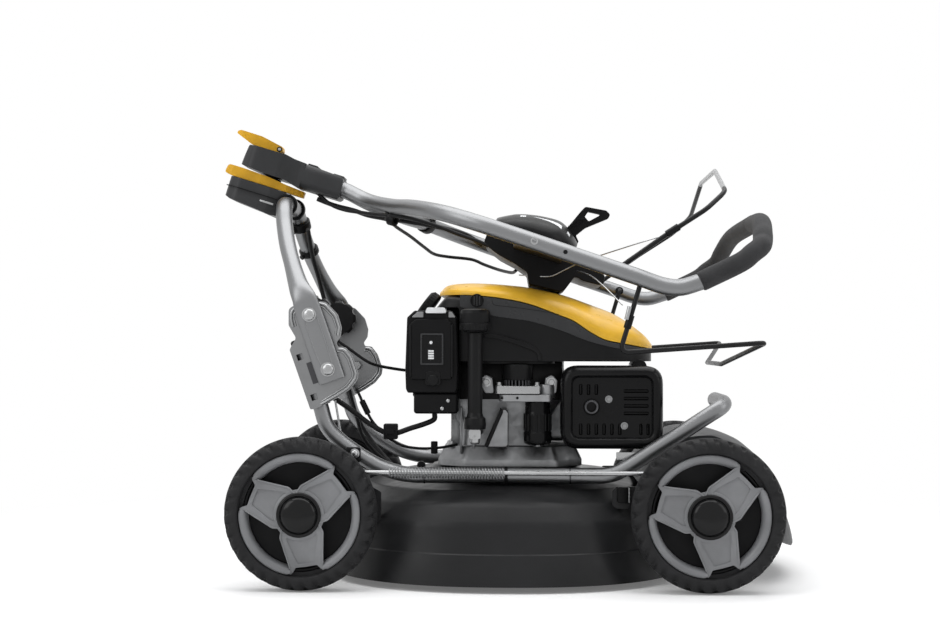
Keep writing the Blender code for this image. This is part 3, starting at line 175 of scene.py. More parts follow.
def rubber(name, colour, rough, height=0.00012):
    """Dull rubber with a dusty tone."""
    look = Look(name, colour, rough, 0.0, 0.0, 0.16)
    return look.finish((18.0, 5.0, 0.65), (0.8, 1.3), (90.0, 3.0), 0.08, (700.0, 3.0, 0.7), height)


def paint(name, colour, rough, specular):
    """Powder coat with a fine orange peel."""
    look = Look(name, colour, rough, 0.0, 0.0, specular)
    return look.finish((7.0, 5.0), (0.85, 1.2), (45.0, 4.0), 0.07, (380.0, 2.0), 8e-05)


def foam(name, colour):
    """Open foam with small cells and a faint sheen."""
    look = Look(name, colour, 0.85, 0.0, 0.0, 0.15)
    look.shader.inputs["Sheen Weight"].default_value = 0.08
    look.shader.inputs["Sheen Roughness"].default_value = 0.6
    look.tone(look.noise(30.0, 4.0), 0.85, 1.18)
    look.bump(look.cells(950.0), 0.00035, 0.8)
    look.bump(look.noise(1500.0, 2.0), 0.00015)
    return look.mat


BLACK = grained("black_plastic", (0.0062, 0.0062, 0.0066), 0.42, specular=0.1)
SMOOTH_BLACK = grained("smooth_black_plastic", (0.0048, 0.0048, 0.0052), 0.24, 300.0, 2e-05,
    specular=0.14)
SATIN = grained("satin_black_plastic", (0.0085, 0.0086, 0.009), 0.34, specular=0.12)
GREY = grained("dark_grey_plastic", (0.03, 0.0305, 0.0318), 0.42, specular=0.2)
BAND = grained("cowl_band_plastic", (0.033, 0.0336, 0.0352), 0.3, 700.0, 3e-05, specular=0.22)
YELLOW = grained("yellow_cover_plastic", (0.74, 0.425, 0.034), 0.32, 500.0, 2e-05, 0.05, 0.25)
AMBER = grained("yellow_lever_plastic", (0.64, 0.345, 0.022), 0.4, 900.0, 4e-05, 0.0, 0.2)
COVER = grained("wheel_cover_plastic", (0.19, 0.193, 0.2), 0.34, 900.0, 3e-05, specular=0.35)
RIM = grained("rim_plastic", (0.0075, 0.0075, 0.008), 0.5, specular=0.1)
DOME = grained("hub_cap_plastic", (0.0035, 0.0035, 0.0038), 0.12, 200.0, 1e-05, specular=0.22)
TYRE = rubber("tyre_rubber", (0.017, 0.017, 0.0178), 0.62)
CABLE = rubber("cable_sleeve", (0.007, 0.007, 0.0075), 0.48, 5e-05)
FOAM = foam("grip_foam_black", (0.034, 0.034, 0.0355))
DECK = paint("deck_powder_coat", (0.014, 0.0142, 0.015), 0.36, 0.18)
COWL = grained("front_cowl_plastic", (0.045, 0.0458, 0.0478), 0.5, specular=0.18)
COATED = paint("black_coated_wire", (0.007, 0.007, 0.0075), 0.34, 0.2)
TUBE = metal("silver_tube", (0.215, 0.218, 0.223), 0.4, tone=0.03, height=2e-06, spread=0.02)
BARE = metal("bare_wire", (0.42, 0.425, 0.43), 0.3, tone=0.04, height=4e-06, spread=0.03)
ZINC = metal("zinc_plate", (0.235, 0.238, 0.242), 0.36, tone=0.1, height=1e-05, spread=0.05)
# A lighter copy of the zinc plate for the brackets' rolled rims: painted highlight along their edges.
ZINC_HIGHLIGHT = metal("zinc_bead_highlight", (0.3, 0.304, 0.308), 0.3, tone=0.08, height=1e-05, spread=0.04)
STEEL = metal("bright_steel", (0.36, 0.364, 0.368), 0.3, height=1e-05, spread=0.05)
DARK_STEEL = metal("dark_steel", (0.07, 0.07, 0.074), 0.4)
ALLOY = cast("cast_alloy", (0.27, 0.274, 0.28), 0.4)
WHITE = grained("white_marking", (0.7, 0.71, 0.72), 0.4, 400.0, 1e-05)

# Shapes


def as_object(name, bm):
    """Turn a bmesh into a linked object with smooth shading."""
    mesh = bpy.data.meshes.new(name)
    bm.to_mesh(mesh)
    bm.free()
    for poly in mesh.polygons:
        poly.use_smooth = True
    ob = bpy.data.objects.new(name, mesh)
    bpy.context.scene.collection.objects.link(ob)
    return ob


def applied(ob):
    """A new mesh with the object's modifiers applied."""
    graph = bpy.context.evaluated_depsgraph_get()
    return bpy.data.meshes.new_from_object(ob.evaluated_get(graph))


def bevelled(ob, width, segments, angle):
    """Round the edges that are sharper than an angle in degrees."""
    mod = ob.modifiers.new("edges", "BEVEL")
    mod.width = width
    mod.segments = segments
    mod.limit_method = "ANGLE"
    mod.angle_limit = radians(angle)


def soften(ob, width, segments, angle):
    """Round the edges and shade the faces between them as flat."""
    bevelled(ob, width, segments, angle)
    ob.modifiers.new("shade", "WEIGHTED_NORMAL").keep_sharp = True


def finished(name, bm, mat, body=None, node=None, bevel=0.0, segments=2, angle=32.0):
    """Make a named piece from a bmesh, ride it on a body and let it stand for a solid."""
    bmesh.ops.remove_doubles(bm, verts=bm.verts, dist=1e-06)
    bmesh.ops.recalc_face_normals(bm, faces=bm.faces)
    ob = as_object(name, bm)
    ob.data.materials.append(mat)
    if bevel > 0.0:
        soften(ob, bevel, segments, angle)
    else:
        ob.data.set_sharp_from_angle(angle=radians(angle))
    if body is not None:
        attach(ob, body)
    if node is not None:
        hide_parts(node)
    return ob


def settle(ob):
    """Apply an object's modifiers to its mesh."""
    old = ob.data
    mesh = applied(ob)
    ob.modifiers.clear()
    ob.data = mesh
    bpy.data.meshes.remove(old)
    return ob


def carve(ob, bm, kind="DIFFERENCE"):
    """Cut a solid away from a piece at once, leaving nothing behind."""
    bmesh.ops.recalc_face_normals(bm, faces=bm.faces)
    tool = as_object("tool", bm)
    mod = ob.modifiers.new("carve", "BOOLEAN")
    mod.operation = kind
    mod.solver = "EXACT"
    mod.object = tool
    others = [m for m in ob.modifiers if m != mod]
    if others:
        ob.modifiers.move(len(others), 0)
    for other in others:
        other.show_viewport = False
    old = ob.data
    mesh = applied(ob)
    ob.modifiers.remove(mod)
    for other in others:
        other.show_viewport = True
    ob.data = mesh
    bpy.data.meshes.remove(old)
    bpy.data.meshes.remove(tool.data)
    for poly in mesh.polygons:
        poly.use_smooth = True
    if not others:
        mesh.set_sharp_from_angle(angle=radians(32))
    return ob


def corner(p, a, b, radius, share, steps):
    """Points of an even curve in place of a corner at p, with ways a and b to its neighbours."""
    half = a.angle(b) / 2
    length = min(radius / max(1e-06, sin(half) / cos(half)), min(a.length, b.length) * share)
    start = p + a.normalized() * length
    end = p + b.normalized() * length
    return [start * (1 - t) ** 2 + p * 2 * t * (1 - t) + end * t ** 2
        for t in [k / steps for k in range(steps + 1)]]


def rounded(points, radius, steps=5):
    """A closed outline with rounded corners, by one radius or by one for each point."""
    out = []
    for i, point in enumerate(points):
        r = radius[i] if isinstance(radius, (list, tuple)) else radius
        p = Vector(point)
        if r <= 0.0:
            out.append(tuple(p))
            continue
        a = Vector(points[i - 1]) - p
        b = Vector(points[(i + 1) % len(points)]) - p
        out += [tuple(q) for q in corner(p, a, b, r, 0.48, steps)]
    return out


def bent(points, radius, steps=8):
    """An open path with rounded corners, by one radius or by one for each corner."""
    pts = [Vector(p) for p in points]
    out = [pts[0]]
    for i in range(1, len(pts) - 1):
        p = pts[i]
        a = pts[i - 1] - p
        b = pts[i + 1] - p
        r = radius[i - 1] if isinstance(radius, (list, tuple)) else radius
        if r <= 0.0 or a.angle(b) > pi - 0.03:
            out.append(p)
        else:
            out += corner(p, a, b, r, 0.49, steps)
    out.append(pts[-1])
    return out


def circle(cx, cy, radius, count=28):
    """A small round hole as an outline."""
    return [(cx + radius * cos(2 * pi * k / count), cy + radius * sin(2 * pi * k / count))
        for k in range(count)]


def box_outline(x0, y0, x1, y1):
    return [(x0, y0), (x1, y0), (x1, y1), (x0, y1)]


def smooth(points, per=6):
    """A curve through all the points."""
    pts = [Vector(p) for p in points]
    pts = [pts[0] * 2 - pts[1]] + pts + [pts[-1] * 2 - pts[-2]]
    out = []
    for i in range(1, len(pts) - 2):
        a, b, c, d = pts[i - 1:i + 3]
        for k in range(per):
            t = k / per
            out.append(0.5 * (b * 2 + (c - a) * t + (a * 2 - b * 5 + c * 4 - d) * t * t
                + (b * 3 - a - c * 3 + d) * t ** 3))
    out.append(pts[-2])
    return out


def mirrored(path):
    """A path of the right side with its mirror image on the left."""
    other = [Vector((p[0], -p[1], p[2])) for p in reversed(path)]
    if (Vector(path[-1]) - other[0]).length < 1e-06:
        other = other[1:]
    return [Vector(p) for p in path] + other


def frames(path, side):
    """Two directions across the path at each of its points, turning as little as they can."""
    count = len(path)
    tangents = [(path[min(count - 1, i + 1)] - path[max(0, i - 1)]).normalized() for i in range(count)]
    first = Vector(side)
    first = (first - tangents[0] * first.dot(tangents[0])).normalized()
    out = []
    for i in range(count):
        if i > 0:
            first = tangents[i - 1].rotation_difference(tangents[i]) @ first
            first = (first - tangents[i] * first.dot(tangents[i])).normalized()
        out.append((first.copy(), tangents[i].cross(first).normalized()))
    return out


def belt(bm, a, b):
    """Faces between two rings of the same count."""
    for k in range(len(a)):
        n = (k + 1) % len(a)
        bm.faces.new((a[k], a[n], b[n], b[k]))


def loft(rings):
    """A closed body through rings of the same count."""
    bm = bmesh.new()
    made = [[bm.verts.new(p) for p in ring] for ring in rings]
    for a, b in zip(made, made[1:]):
        belt(bm, a, b)
    bm.faces.new(made[0])
    bm.faces.new(made[-1])
    return bm


def sweep(path, radius, sides=20, side=(0, 1, 0), sizes=None):
    """A bar along a path, with one radius, one for each point, or two half sizes for each point."""
    path = [Vector(p) for p in path]
    rings = []
    for i, (p, (a, b)) in enumerate(zip(path, frames(path, side))):
        ra = rb = radius[i] if isinstance(radius, (list, tuple)) else radius
        if sizes is not None:
            ra, rb = sizes[i]
        rings.append([p + a * (ra * cos(2 * pi * (k + 0.5) / sides))
            + b * (rb * sin(2 * pi * (k + 0.5) / sides)) for k in range(sides)])
    return loft(rings)


def plate(outlines, axis, low, high, lift=None):
    """A flat plate across an axis, with an outline and its holes. A lift tilts or bends it."""
    bm = bmesh.new()
    loops = [[Vector((p[0], p[1], 0.0)) for p in outline] for outline in outlines]
    flat = [p for loop in loops for p in loop]
    triangles = tessellate_polygon(loops)

    def at(p, depth):
        if lift is not None:
            depth += lift(p.x, p.y)
        return {"X": (depth, p.x, p.y), "Y": (p.x, depth, p.y), "Z": (p.x, p.y, depth)}[axis]

    lower = [bm.verts.new(at(p, low)) for p in flat]
    upper = [bm.verts.new(at(p, high)) for p in flat]
    for tri in triangles:
        bm.faces.new([lower[i] for i in tri])
        bm.faces.new([upper[i] for i in reversed(tri)])
    start = 0
    for loop in loops:
        end = start + len(loop)
        belt(bm, lower[start:end], upper[start:end])
        start = end
    bmesh.ops.recalc_face_normals(bm, faces=bm.faces)
    bmesh.ops.dissolve_limit(bm, angle_limit=0.002, verts=bm.verts, edges=bm.edges, delimit={"NORMAL"})
    return bm


def lathe(profile, centre, axis, sides=48, start=0.0):
    """A turned body from a closed profile of radii and heights along an axis."""
    bm = bmesh.new()
    w = Vector(axis).normalized()
    u = w.orthogonal().normalized()
    if abs(w.x) < 0.9:
        u = (Vector((1, 0, 0)) - w * w.x).normalized()
    v = w.cross(u)
    c = Vector(centre)
    rings = []
    for r, h in profile:
        if r < 1e-07:
            rings.append([bm.verts.new(c + w * h)])
            continue
        rings.append([bm.verts.new(c + w * h + u * (r * cos(2 * pi * k / sides + start))
            + v * (r * sin(2 * pi * k / sides + start))) for k in range(sides)])
    for a, b in zip(rings, rings[1:] + rings[:1]):
        if len(a) > 1 and len(b) > 1:
            belt(bm, a, b)
        elif len(a) != len(b):
            for k in range(sides):
                n = (k + 1) % sides
                bm.faces.new((a[0], b[n], b[k]) if len(a) == 1 else (a[k], a[n], b[0]))
    return bm


def eased(profile, radius, steps=3):
    """A lathe profile with its corners rounded, keeping points on the axis sharp."""
    return rounded(profile, [0.0 if p[0] < 1e-07 else radius for p in profile], steps)


def rod(p, q, radius, sides=24, ease=0.0):
    """A round bar between two points."""
    p = Vector(p)
    q = Vector(q)
    profile = [(0, 0), (radius, 0), (radius, (q - p).length), (0, (q - p).length)]
    return lathe(eased(profile, ease) if ease > 0.0 else profile, p, q - p, sides, pi / sides)


def ring(at, axis, inner, outer, low, high, sides, ease=0.0, steps=2):
    """A turned ring between two radii and two heights, or a disc where the inner radius is 0."""
    profile = [(inner, low), (outer, low), (outer, high), (inner, high)]
    return lathe(eased(profile, ease, steps) if ease > 0.0 else profile, at, axis, sides)


def block(low, high, bevel=0.0, steps=3):
    """A box between two corners."""
    bm = bmesh.new()
    bmesh.ops.create_cube(bm, size=1.0)
    low = Vector(low)
    size = Vector(high) - low
    for v in bm.verts:
        v.co = low + Vector(((v.co.x + 0.5) * size.x, (v.co.y + 0.5) * size.y, (v.co.z + 0.5) * size.z))
    if bevel > 0.0:
        bmesh.ops.bevel(bm, geom=list(bm.edges), offset=bevel, segments=steps, profile=0.5,
            affect="EDGES", clamp_overlap=True)
    return bm


def merge(*meshes):
    """Several bmeshes as one."""
    whole = bmesh.new()
    for bm in meshes:
        mesh = bpy.data.meshes.new("joined")
        bm.to_mesh(mesh)
        bm.free()
        whole.from_mesh(mesh)
        bpy.data.meshes.remove(mesh)
    return whole


def moved(bm, matrix):
    """Turn or move a mesh by a matrix."""
    bmesh.ops.transform(bm, matrix=matrix, verts=bm.verts)
    return bm


def placed(origin, along, side, up):
    """A matrix with the given axes and origin."""
    basis = Matrix((along, side, up)).transposed().to_4x4()
    return Matrix.Translation(Vector(origin)) @ basis


def polar(radius, degrees):
    """Offsets along x and z for a radius and an angle in degrees."""
    return (radius * cos(radians(degrees)), radius * sin(radians(degrees)))


def upright_ring(cx, cy, z, radius, height, thick, count, sides, start=0.0):
    """Small upright rods on a circle, such as grip ridges or teeth."""
    rods = []
    for k in range(count):
        angle = 2 * pi * k / count + start
        at = Vector((cx + radius * cos(angle), cy + radius * sin(angle), z))
        rods.append(rod(at, at + Vector((0, 0, height)), thick, sides))
    return merge(*rods)


def turned(points, ease, at, axis, sides=48, steps=3):
    """A turned body with eased corners, from points of radius and height in millimetres."""
    return lathe(eased(mm(points), ease, steps), at, axis, sides)


def slab(points, radius, steps, axis, low, high):
    """A plate with rounded corners, from an outline in millimetres."""
    return plate([rounded(mm(points), radius, steps)], axis, low, high)


def bolt_head(at, axis, radius, height, sides=6, washer=0.0):
    """A hexagon head with a chamfer, and a washer under it if asked."""
    rise = 0.0012 if washer > 0.0 else 0.0
    profile = [(0, rise), (radius, rise), (radius, height * 0.8 + rise), (radius * 0.88, height + rise),
        (0, height + rise)]
    head = lathe(profile, at, axis, sides)
    return merge(ring(at, axis, 0, washer, 0, 0.0014, 28, 0.0003), head) if washer > 0.0 else head


def dome_head(at, axis, radius, height):
    """A round screw head."""
    profile = [(0, 0), (radius, 0)]
    for k in range(1, 7):
        a = pi / 2 * k / 6
        profile.append((radius * cos(a) if k < 6 else 0.0, height * sin(a)))
    return lathe(profile, at, axis, 28)


# Wheels

TREAD = mm([(78.2, -20.5), (80, -21.8), (85, -22.6), (90, -23), (94, -22.9), (97.5, -21.9), (100.5, -20),
    (102.4, -17.2), (103.4, -13.5), (104, -10), (104, -8.5), (104.3, -7.2), (104.6, -3), (104.6, 3),
    (104.3, 7.2), (104, 8.5), (104, 10), (103.4, 13.5), (102.4, 17.2), (100.5, 20), (97.5, 21.9),
    (94, 22.9), (90, 23), (86.5, 22.4), (84.8, 21.2), (83.8, 18), (83.5, 13), (78.2, 12.5)])
LUG_SHARE = [0, 0, 0, 0.15, 0.6, 1, 1, 1, 1, 0.8, 0, 0, 0, 0, 0, 0, 0.8, 1, 1, 1, 1, 0.6, 0.15, 0, 0, 0,
    0, 0]
LUGS = 34
LUG_STEPS = 14
LUG_DEPTH = 0.0042
SHOULDER_Y = 0.0195


def tyre_mesh(centre, out):
    """A carcass whose shoulders carry cross lugs and whose tread has two ribs."""
    bm = bmesh.new()
    u = Vector((1, 0, 0))
    v = out.cross(u)
    rings = []
    for k in range(LUGS * LUG_STEPS):
        angle = 2 * pi * k / (LUGS * LUG_STEPS)
        phase = k % LUG_STEPS / LUG_STEPS
        points = []
        for (r, h), share in zip(TREAD, LUG_SHARE):
            shift = 0.5 if h < 0 else 0.0
            wave = 0.5 - 0.5 * cos(2 * pi * (phase + shift + (0.1046 - r) * 30.0))
            drop = LUG_DEPTH * share * (1.0 - min(1.0, max(0.0, (wave - 0.22) * 4.5)))
            aside = 0.4 if abs(h) > SHOULDER_Y else 0.0
            r -= drop * (1.0 - aside)
            h -= (1 if h > 0 else -1) * drop * aside * 1.4
            points.append(bm.verts.new(centre + out * h + u * (r * cos(angle)) + v * (r * sin(angle))))
        rings.append(points)
    for a, b in zip(rings, rings[1:] + rings[:1]):
        belt(bm, a, b)
    return bm


SPOKE = [polar(r, a) for r, a in ((0.028, -60), (0.0395, -48), (0.0668, -20.5), (0.074, -17.5),
    (0.0828, -16.5), (0.0785, -14.2), (0.0718, -11.8), (0.0708, 0.0), (0.0718, 11.8), (0.0785, 14.2),
    (0.0828, 16.5), (0.074, 17.5), (0.0668, 20.5), (0.0395, 48), (0.028, 60), (0.024, 0))]
SPOKE_RADII = mm([0, 6, 4, 0, 1.5, 2, 3, 10, 3, 2, 1.5, 0, 4, 6, 0, 10])
POCKET = mm([(25, -20), (33, -20.8), (64.8, -11.6), (65.2, -8), (65.2, 8), (64.8, 11.6), (33, 20.8),
    (25, 20)])
ROLLED_RING = mm([(82.6, 13.5), (83.2, 15), (83.2, 17.6), (82.6, 19.2), (81.2, 20), (78.8, 20.1),
    (76.2, 19.4), (74, 17.9), (72.2, 15.5), (71.1, 12.7), (70.6, 9.8), (70.4, 7), (71.6, 7), (72.2, 10),
    (73.5, 12.6), (76, 13.5)])
RING_HALF_ANGLE = 43.5
RING_STEPS = 28
HUB_RING = mm([(23.5, 18), (33, 18), (34.5, 19.5), (34.5, 21.8), (33.5, 22.6), (23.5, 22.6)])

SPOKE_THICK = 0.0042
POCKET_DEPTH = 0.0021
POCKET_CUT = 0.02
BEAD_EDGE = [(0.029, 59), (0.0395, 47.6), (0.0668, 20.4), (0.0738, 17.6)]
BEAD_R = 0.0013
RING_MIDDLE = 0.0775


def spoke_height(along):
    """How far a spoke's face stands out, at a distance from the axle."""
    return 0.0222 - 0.0032 * (along - 0.034) / 0.037


def on_wheel(centre, phi, points):
    """Points of the wheel's plane, turned by an angle and set round its centre."""
    c, s = (cos(phi), sin(phi))
    return [(centre.x + (x * c - z * s), centre.z + (x * s + z * c)) for x, z in points]


def wheel_cover(name, centre, side, turn, body, node):
    """Three tilted spokes with sunk panels and a rolled ring, as one piece."""
    y0 = TRACK * side
    pieces = []
    spokes = [radians(turn + 120 * s + 60) for s in range(3)]
    for phi in spokes:

        def lift(x, z, d=Vector((cos(phi), sin(phi)))):
            return side * spoke_height((x - centre.x) * d.x + (z - centre.z) * d.y)

        outline = on_wheel(centre, phi, rounded(SPOKE, SPOKE_RADII, 4))
        low, high = sorted((side * -SPOKE_THICK, 0.0))
        arm = finished(name + "_arm", plate([outline], "Y", y0 + low, y0 + high, lift), COVER)
        low, high = sorted((side * -POCKET_DEPTH, side * POCKET_CUT))
        pocket = on_wheel(centre, phi, rounded(POCKET, 0.003, 3))
        carve(arm, plate([pocket], "Y", y0 + low, y0 + high, lift))
        bevelled(arm, 0.0017, 4, 35)
        pieces.append(settle(arm))
    for phi in spokes:
        for hand in (-1, 1):
            edge = [polar(r, hand * a) for r, a in BEAD_EDGE]
            pts = [(px, y0 + side * (spoke_height(along) - 0.0002), pz)
                for (px, pz), (along, _) in zip(on_wheel(centre, phi, edge), edge)]
            pieces.append(finished(name + "_bead", sweep(bent(pts, 0.008, 6), BEAD_R, 12), COVER))
    for s in range(3):
        rings = []
        for k in range(RING_STEPS + 1):
            a = turn + 120 * s - RING_HALF_ANGLE + 2 * RING_HALF_ANGLE * k / RING_STEPS
            tip = min(1.0, (k + 0.4) / 1.6, (RING_STEPS + 0.4 - k) / 1.6)
            points = []
            for r, h in ROLLED_RING:
                x, z = polar(RING_MIDDLE + (r - RING_MIDDLE) * (0.45 + 0.55 * tip), a)
                points.append((centre.x + x, y0 + side * h, centre.z + z))
            rings.append(points)
        pieces.append(finished(name + "_ring", loft(rings), COVER))
    pieces.append(finished(name + "_hub", lathe(HUB_RING, centre, (0, side, 0), 48), COVER))
    whole = bmesh.new()
    for piece in pieces:
        whole.from_mesh(piece.data)
        bpy.data.objects.remove(piece)
    finished(name, whole, COVER, body, node, angle=40.0)


WHEELS = (("front_right", 1, -1, 104.5), ("front_left", 1, 1, 96.0), ("rear_right", -1, -1, 98.3),
    ("rear_left", -1, 1, 112.0))
RIM_PROFILE = eased(mm([(6.5, -23), (20, -23), (23.5, -5), (69, -5), (73, -18.5), (77.2, -18.5),
    (77.2, 13), (74, 13.2), (70, 2), (24, 2), (22.5, 11.5), (6.5, 11.5)]), 0.0012)
RIM_RIBS = 12
CAP_PROFILE = mm([(0, 22.9), (29.6, 22.9), (30.4, 23.4), (30.5, 24.2), (30, 25.2), (28.8, 26),
    (27.2, 26.3), (26.2, 26), (25.6, 25.6), (25, 26.2), (24, 28.4), (22.2, 30.3), (19, 31.9), (15, 33),
    (10, 33.7), (5, 33.95), (0, 34)])
for label, fore, side, turn in WHEELS:
    centre = Vector((AXLE_X * fore, TRACK * side, AXLE_Z))
    out = Vector((0, side, 0))
    body = "wheel_" + label
    finished("tyre_looks_" + label, tyre_mesh(centre, out), TYRE, body, "tyre_" + label, angle=50)
    finished("rim_looks_" + label, lathe(RIM_PROFILE, centre, out, 72), RIM, body, "rim_" + label)
    ribs = []
    for k in range(RIM_RIBS):
        rib = block((0.023, -0.0008, -0.02), (0.071, 0.0008, -0.0046), 0.0002, 1)
        rib = moved(rib, Matrix.Rotation(2 * pi * k / RIM_RIBS, 4, "Z"))
        ribs.append(moved(rib, placed(centre, Vector((1, 0, 0)), Vector((0, 0, side)), out)))
    finished("rim_ribs_" + label, merge(*ribs), RIM, body)
    wheel_cover("cover_looks_" + label, centre, side, turn, body, "wheel_cover_" + label)
    finished("cap_looks_" + label, lathe(CAP_PROFILE, centre, out, 56), DOME, body, "hub_cap_" + label,
        angle=60)

# Deck

shell_out = mm([(30, 157.7), (108, 157.7), (115, 150), (160, 147), (176, 138.5), (205, 132.5),
    (228, 117), (245, 91), (252.5, 52), (254.5, 50.5), (264, 9)])
shell_in = mm([(260.5, 9), (249.5, 51.5), (242.1, 89.8), (225.8, 114.8), (203.8, 129.6), (175.4, 135.4),
    (159.2, 144), (113.5, 147.1), (106.8, 154.7), (30, 154.7)])
profile = rounded(shell_out + shell_in, mm([0, 6, 6, 10, 10, 20, 30, 30, 2, 1, 0.6, 0.6, 20, 30, 30, 20,
    10, 10, 6, 6, 0]), 5)
ROUND_Z = 0.142
SQUARE_Z = 0.115
SQUARENESS = 2.3


def squared(bm):
    """Push a turned dome's lower part out to a plan with flatter sides."""
    for v in bm.verts:
        r = sqrt(v.co.x ** 2 + v.co.y ** 2)
        share = min(1.0, max(0.0, (ROUND_Z - v.co.z) / (ROUND_Z - SQUARE_Z)))
        n = 2.0 + (SQUARENESS - 2.0) * share
        push = (abs(v.co.x / r) ** n + abs(v.co.y / r) ** n) ** (-1.0 / n)
        v.co.x *= push
        v.co.y *= push
    return bm


finished("deck_shell", squared(lathe(profile, ORIGIN, UP, 128)), DECK, "chassis", "deck", angle=45)
EAR_Y = 0.186
EAR_HALF = 0.002
EAR_FRONT = mm([(150, 108), (150, 133), (156, 138.5), (362, 140.5), (378, 128), (380, 112), (372, 103),
    (345, 111), (335, 117), (176, 117), (172, 108)])
EAR_REAR = mm([(-172, 88), (-172, 130), (-190, 140), (-212, 140.5), (-225, 129), (-222, 108), (-195, 85)])
for side, tag in SIDES:
    for ear, x, where in ((EAR_FRONT, AXLE_X + ARM_X, "front"), (EAR_REAR, -AXLE_X + ARM_X, "rear")):
        hole = circle(x, AXLE_Z + ARM_Z, 0.0064)
        low, high = (side * EAR_Y - EAR_HALF, side * EAR_Y + EAR_HALF)
        finished("deck_ear_%s_%s" % (where, tag), plate([rounded(ear, 0.003, 4), hole], "Y", low, high),
            DECK, "chassis", bevel=0.0006)
finished("deck_tie_bar", rod((0.359, -0.187, 0.11), (0.359, 0.187, 0.11), 0.0055, 24, 0.0006),
    DARK_STEEL, "chassis")

# Front cowl

COWL_TOP = mm([(188, 142), (206, 166), (236, 192), (268, 205), (299, 208.5), (316, 207), (341.6, 197),
    (358.6, 184.5), (375.7, 168.5), (390.9, 146), (409, 105), (420, 72), (425, 48), (423.5, 40)])


def offset(points, depth):
    """An open outline moved sideways by a depth."""
    out = []
    for i in range(len(points)):
        a = Vector(points[max(0, i - 1)])
        b = Vector(points[min(len(points) - 1, i + 1)])
        d = (b - a).normalized()
        out.append((points[i][0] + d.y * depth, points[i][1] - d.x * depth))
    return out


COWL_REAR = 0.188
COWL_SIDE = 0.158
NOSE = 0.148


def nosed(x, y):
    """A point of the cowl's middle line, drawn back where the nose is round."""
    return COWL_REAR + (x - COWL_REAR) * (1.0 - NOSE * (abs(y) / COWL_SIDE) ** 2.2)


top = [(p.x, p.y) for p in smooth([(x, z, 0) for x, z in COWL_TOP], 5)]
under = offset(top, 0.0026)
rings = []
for k in range(25):
    y = -COWL_SIDE + 2 * COWL_SIDE * k / 24
    lift = 0.019 * (abs(y) / COWL_SIDE) ** 2
    rings.append([(nosed(x, y), y, z + lift * min(1.0, max(0.0, (0.1 - z) / 0.055)))
        for x, z in top + list(reversed(under))])
finished("front_cowl_shell", loft(rings), COWL, "chassis", "front_cowl", bevel=0.001)
for side, tag in SIDES:
    wall_y = COWL_SIDE - 0.0015
    skirt = [(nosed(x, wall_y), z) for x, z in top if z > 0.146 or x < 0.2]
    skirt += mm([(352, 142), (330, 150), (215, 150), (200, 145)])
    piece = plate([skirt], "Y", side * wall_y - 0.0014, side * wall_y + 0.0014)
    finished("front_cowl_wall_" + tag, piece, COWL, "chassis", bevel=0.0006)

# Frame tubes and fold brackets

DOWN = [(-0.2883, 0.335), (-0.249, 0.22), (-0.226, 0.196), (-0.183, 0.168), (-0.15, 0.156),
    (-0.125, TUBE_Z)]
down = [Vector((x, 0, z)) for x, z in DOWN]
down = [down[0], down[0].lerp(down[1], 0.5)] + smooth([down[0].lerp(down[1], 0.75)] + down[1:], 6)


def at_side(path, y):
    """The same path at another place across the mower."""
    return [Vector((p.x, y, p.z)) for p in path]


path = at_side(down, -FRAME_Y) + [Vector((0.12, -FRAME_Y, TUBE_Z))]
path += smooth([(0.138, -FRAME_Y, 0.1526), (0.156, -FRAME_Y, 0.1565), (0.175, -FRAME_Y, 0.1668)], 5)
path += smooth([(0.25, -FRAME_Y, 0.2145), (0.285, -FRAME_Y, 0.2375), (0.301, -0.173, 0.2475),
    (0.308, -0.16, 0.2525), (0.3095, -0.142, 0.2545)], 5)
path += [Vector((0.3095, -0.1, 0.2547)), Vector((0.3095, -0.05, 0.255))]
finished("frame_tube_right_looks", sweep(path, FRAME_R, 28), TUBE, "chassis", "frame_tube_right",
    angle=60)
plug = turned([(0, -8), (9.2, -8), (9.2, 0), (11, 0.2), (11, 2), (8.5, 3.6), (0, 4)], 0.0008,
    (0.3095, -0.05, 0.255), (0, 1, 0), 28)
finished("frame_bar_plug", plug, BLACK, "chassis")
path = at_side(down, FRAME_Y) + smooth([(0.025, FRAME_Y, TUBE_Z), (0.035, FRAME_Y, TUBE_Z),
    (0.056, FRAME_Y, 0.1515), (0.08, FRAME_Y, 0.149)], 5)
sizes = []
for p in path:
    t = min(1.0, max(0.0, (p.x - 0.035) / 0.045))
    sizes.append((FRAME_R + 0.004 * t, FRAME_R - 0.0075 * t))
finished("frame_tube_left_looks", sweep(path, FRAME_R, 28, sizes=sizes), TUBE, "chassis",
    "frame_tube_left", angle=60)

BRACKET_IN = 0.1885
BRACKET_OUT = 0.1915
RIM_INSET = 0.0042
BRACKET = mm([(-286, 394.3), (-302.3, 386), (-302.3, 362.4), (-291.6, 344.3), (-298.5, 333),
    (-300.6, 327.6), (-271.1, 244.2), (-258, 248), (-233.2, 260.9), (-215.8, 272.7), (-205.4, 285.9),
    (-204, 295.6), (-212.3, 319.3), (-222.1, 331.8), (-233, 332.5), (-235, 338), (-229, 347.1),
    (-227.6, 359.6), (-233.2, 377.6), (-249.8, 394.9), (-262.4, 397.1)])
SPINE_LOW = Vector((-0.259, 0.0, 0.249))
SPINE_TOP = Vector((-0.285, 0.0, 0.3251))
RIM_UPPER = mm([(-296, 360), (-298.5, 370), (-298.5, 383.5), (-284, 390.5), (-263, 393.3),
    (-251.5, 391.5), (-236.5, 375.5), (-231.2, 359), (-233, 348)])
RIM_LOWER = mm([(-256, 252), (-235, 264.3), (-218.4, 275.3), (-208.9, 287.6), (-207.7, 295),
    (-215.3, 317.3), (-223.5, 328.2), (-232, 329.2)])
middle = atan2(BOLT_TOP[1] - BOLT_LOW[1], BOLT_TOP[0] - BOLT_LOW[0]) * 180 / pi
reach = sqrt((BOLT_TOP[0] - BOLT_LOW[0]) ** 2 + (BOLT_TOP[1] - BOLT_LOW[1]) ** 2)
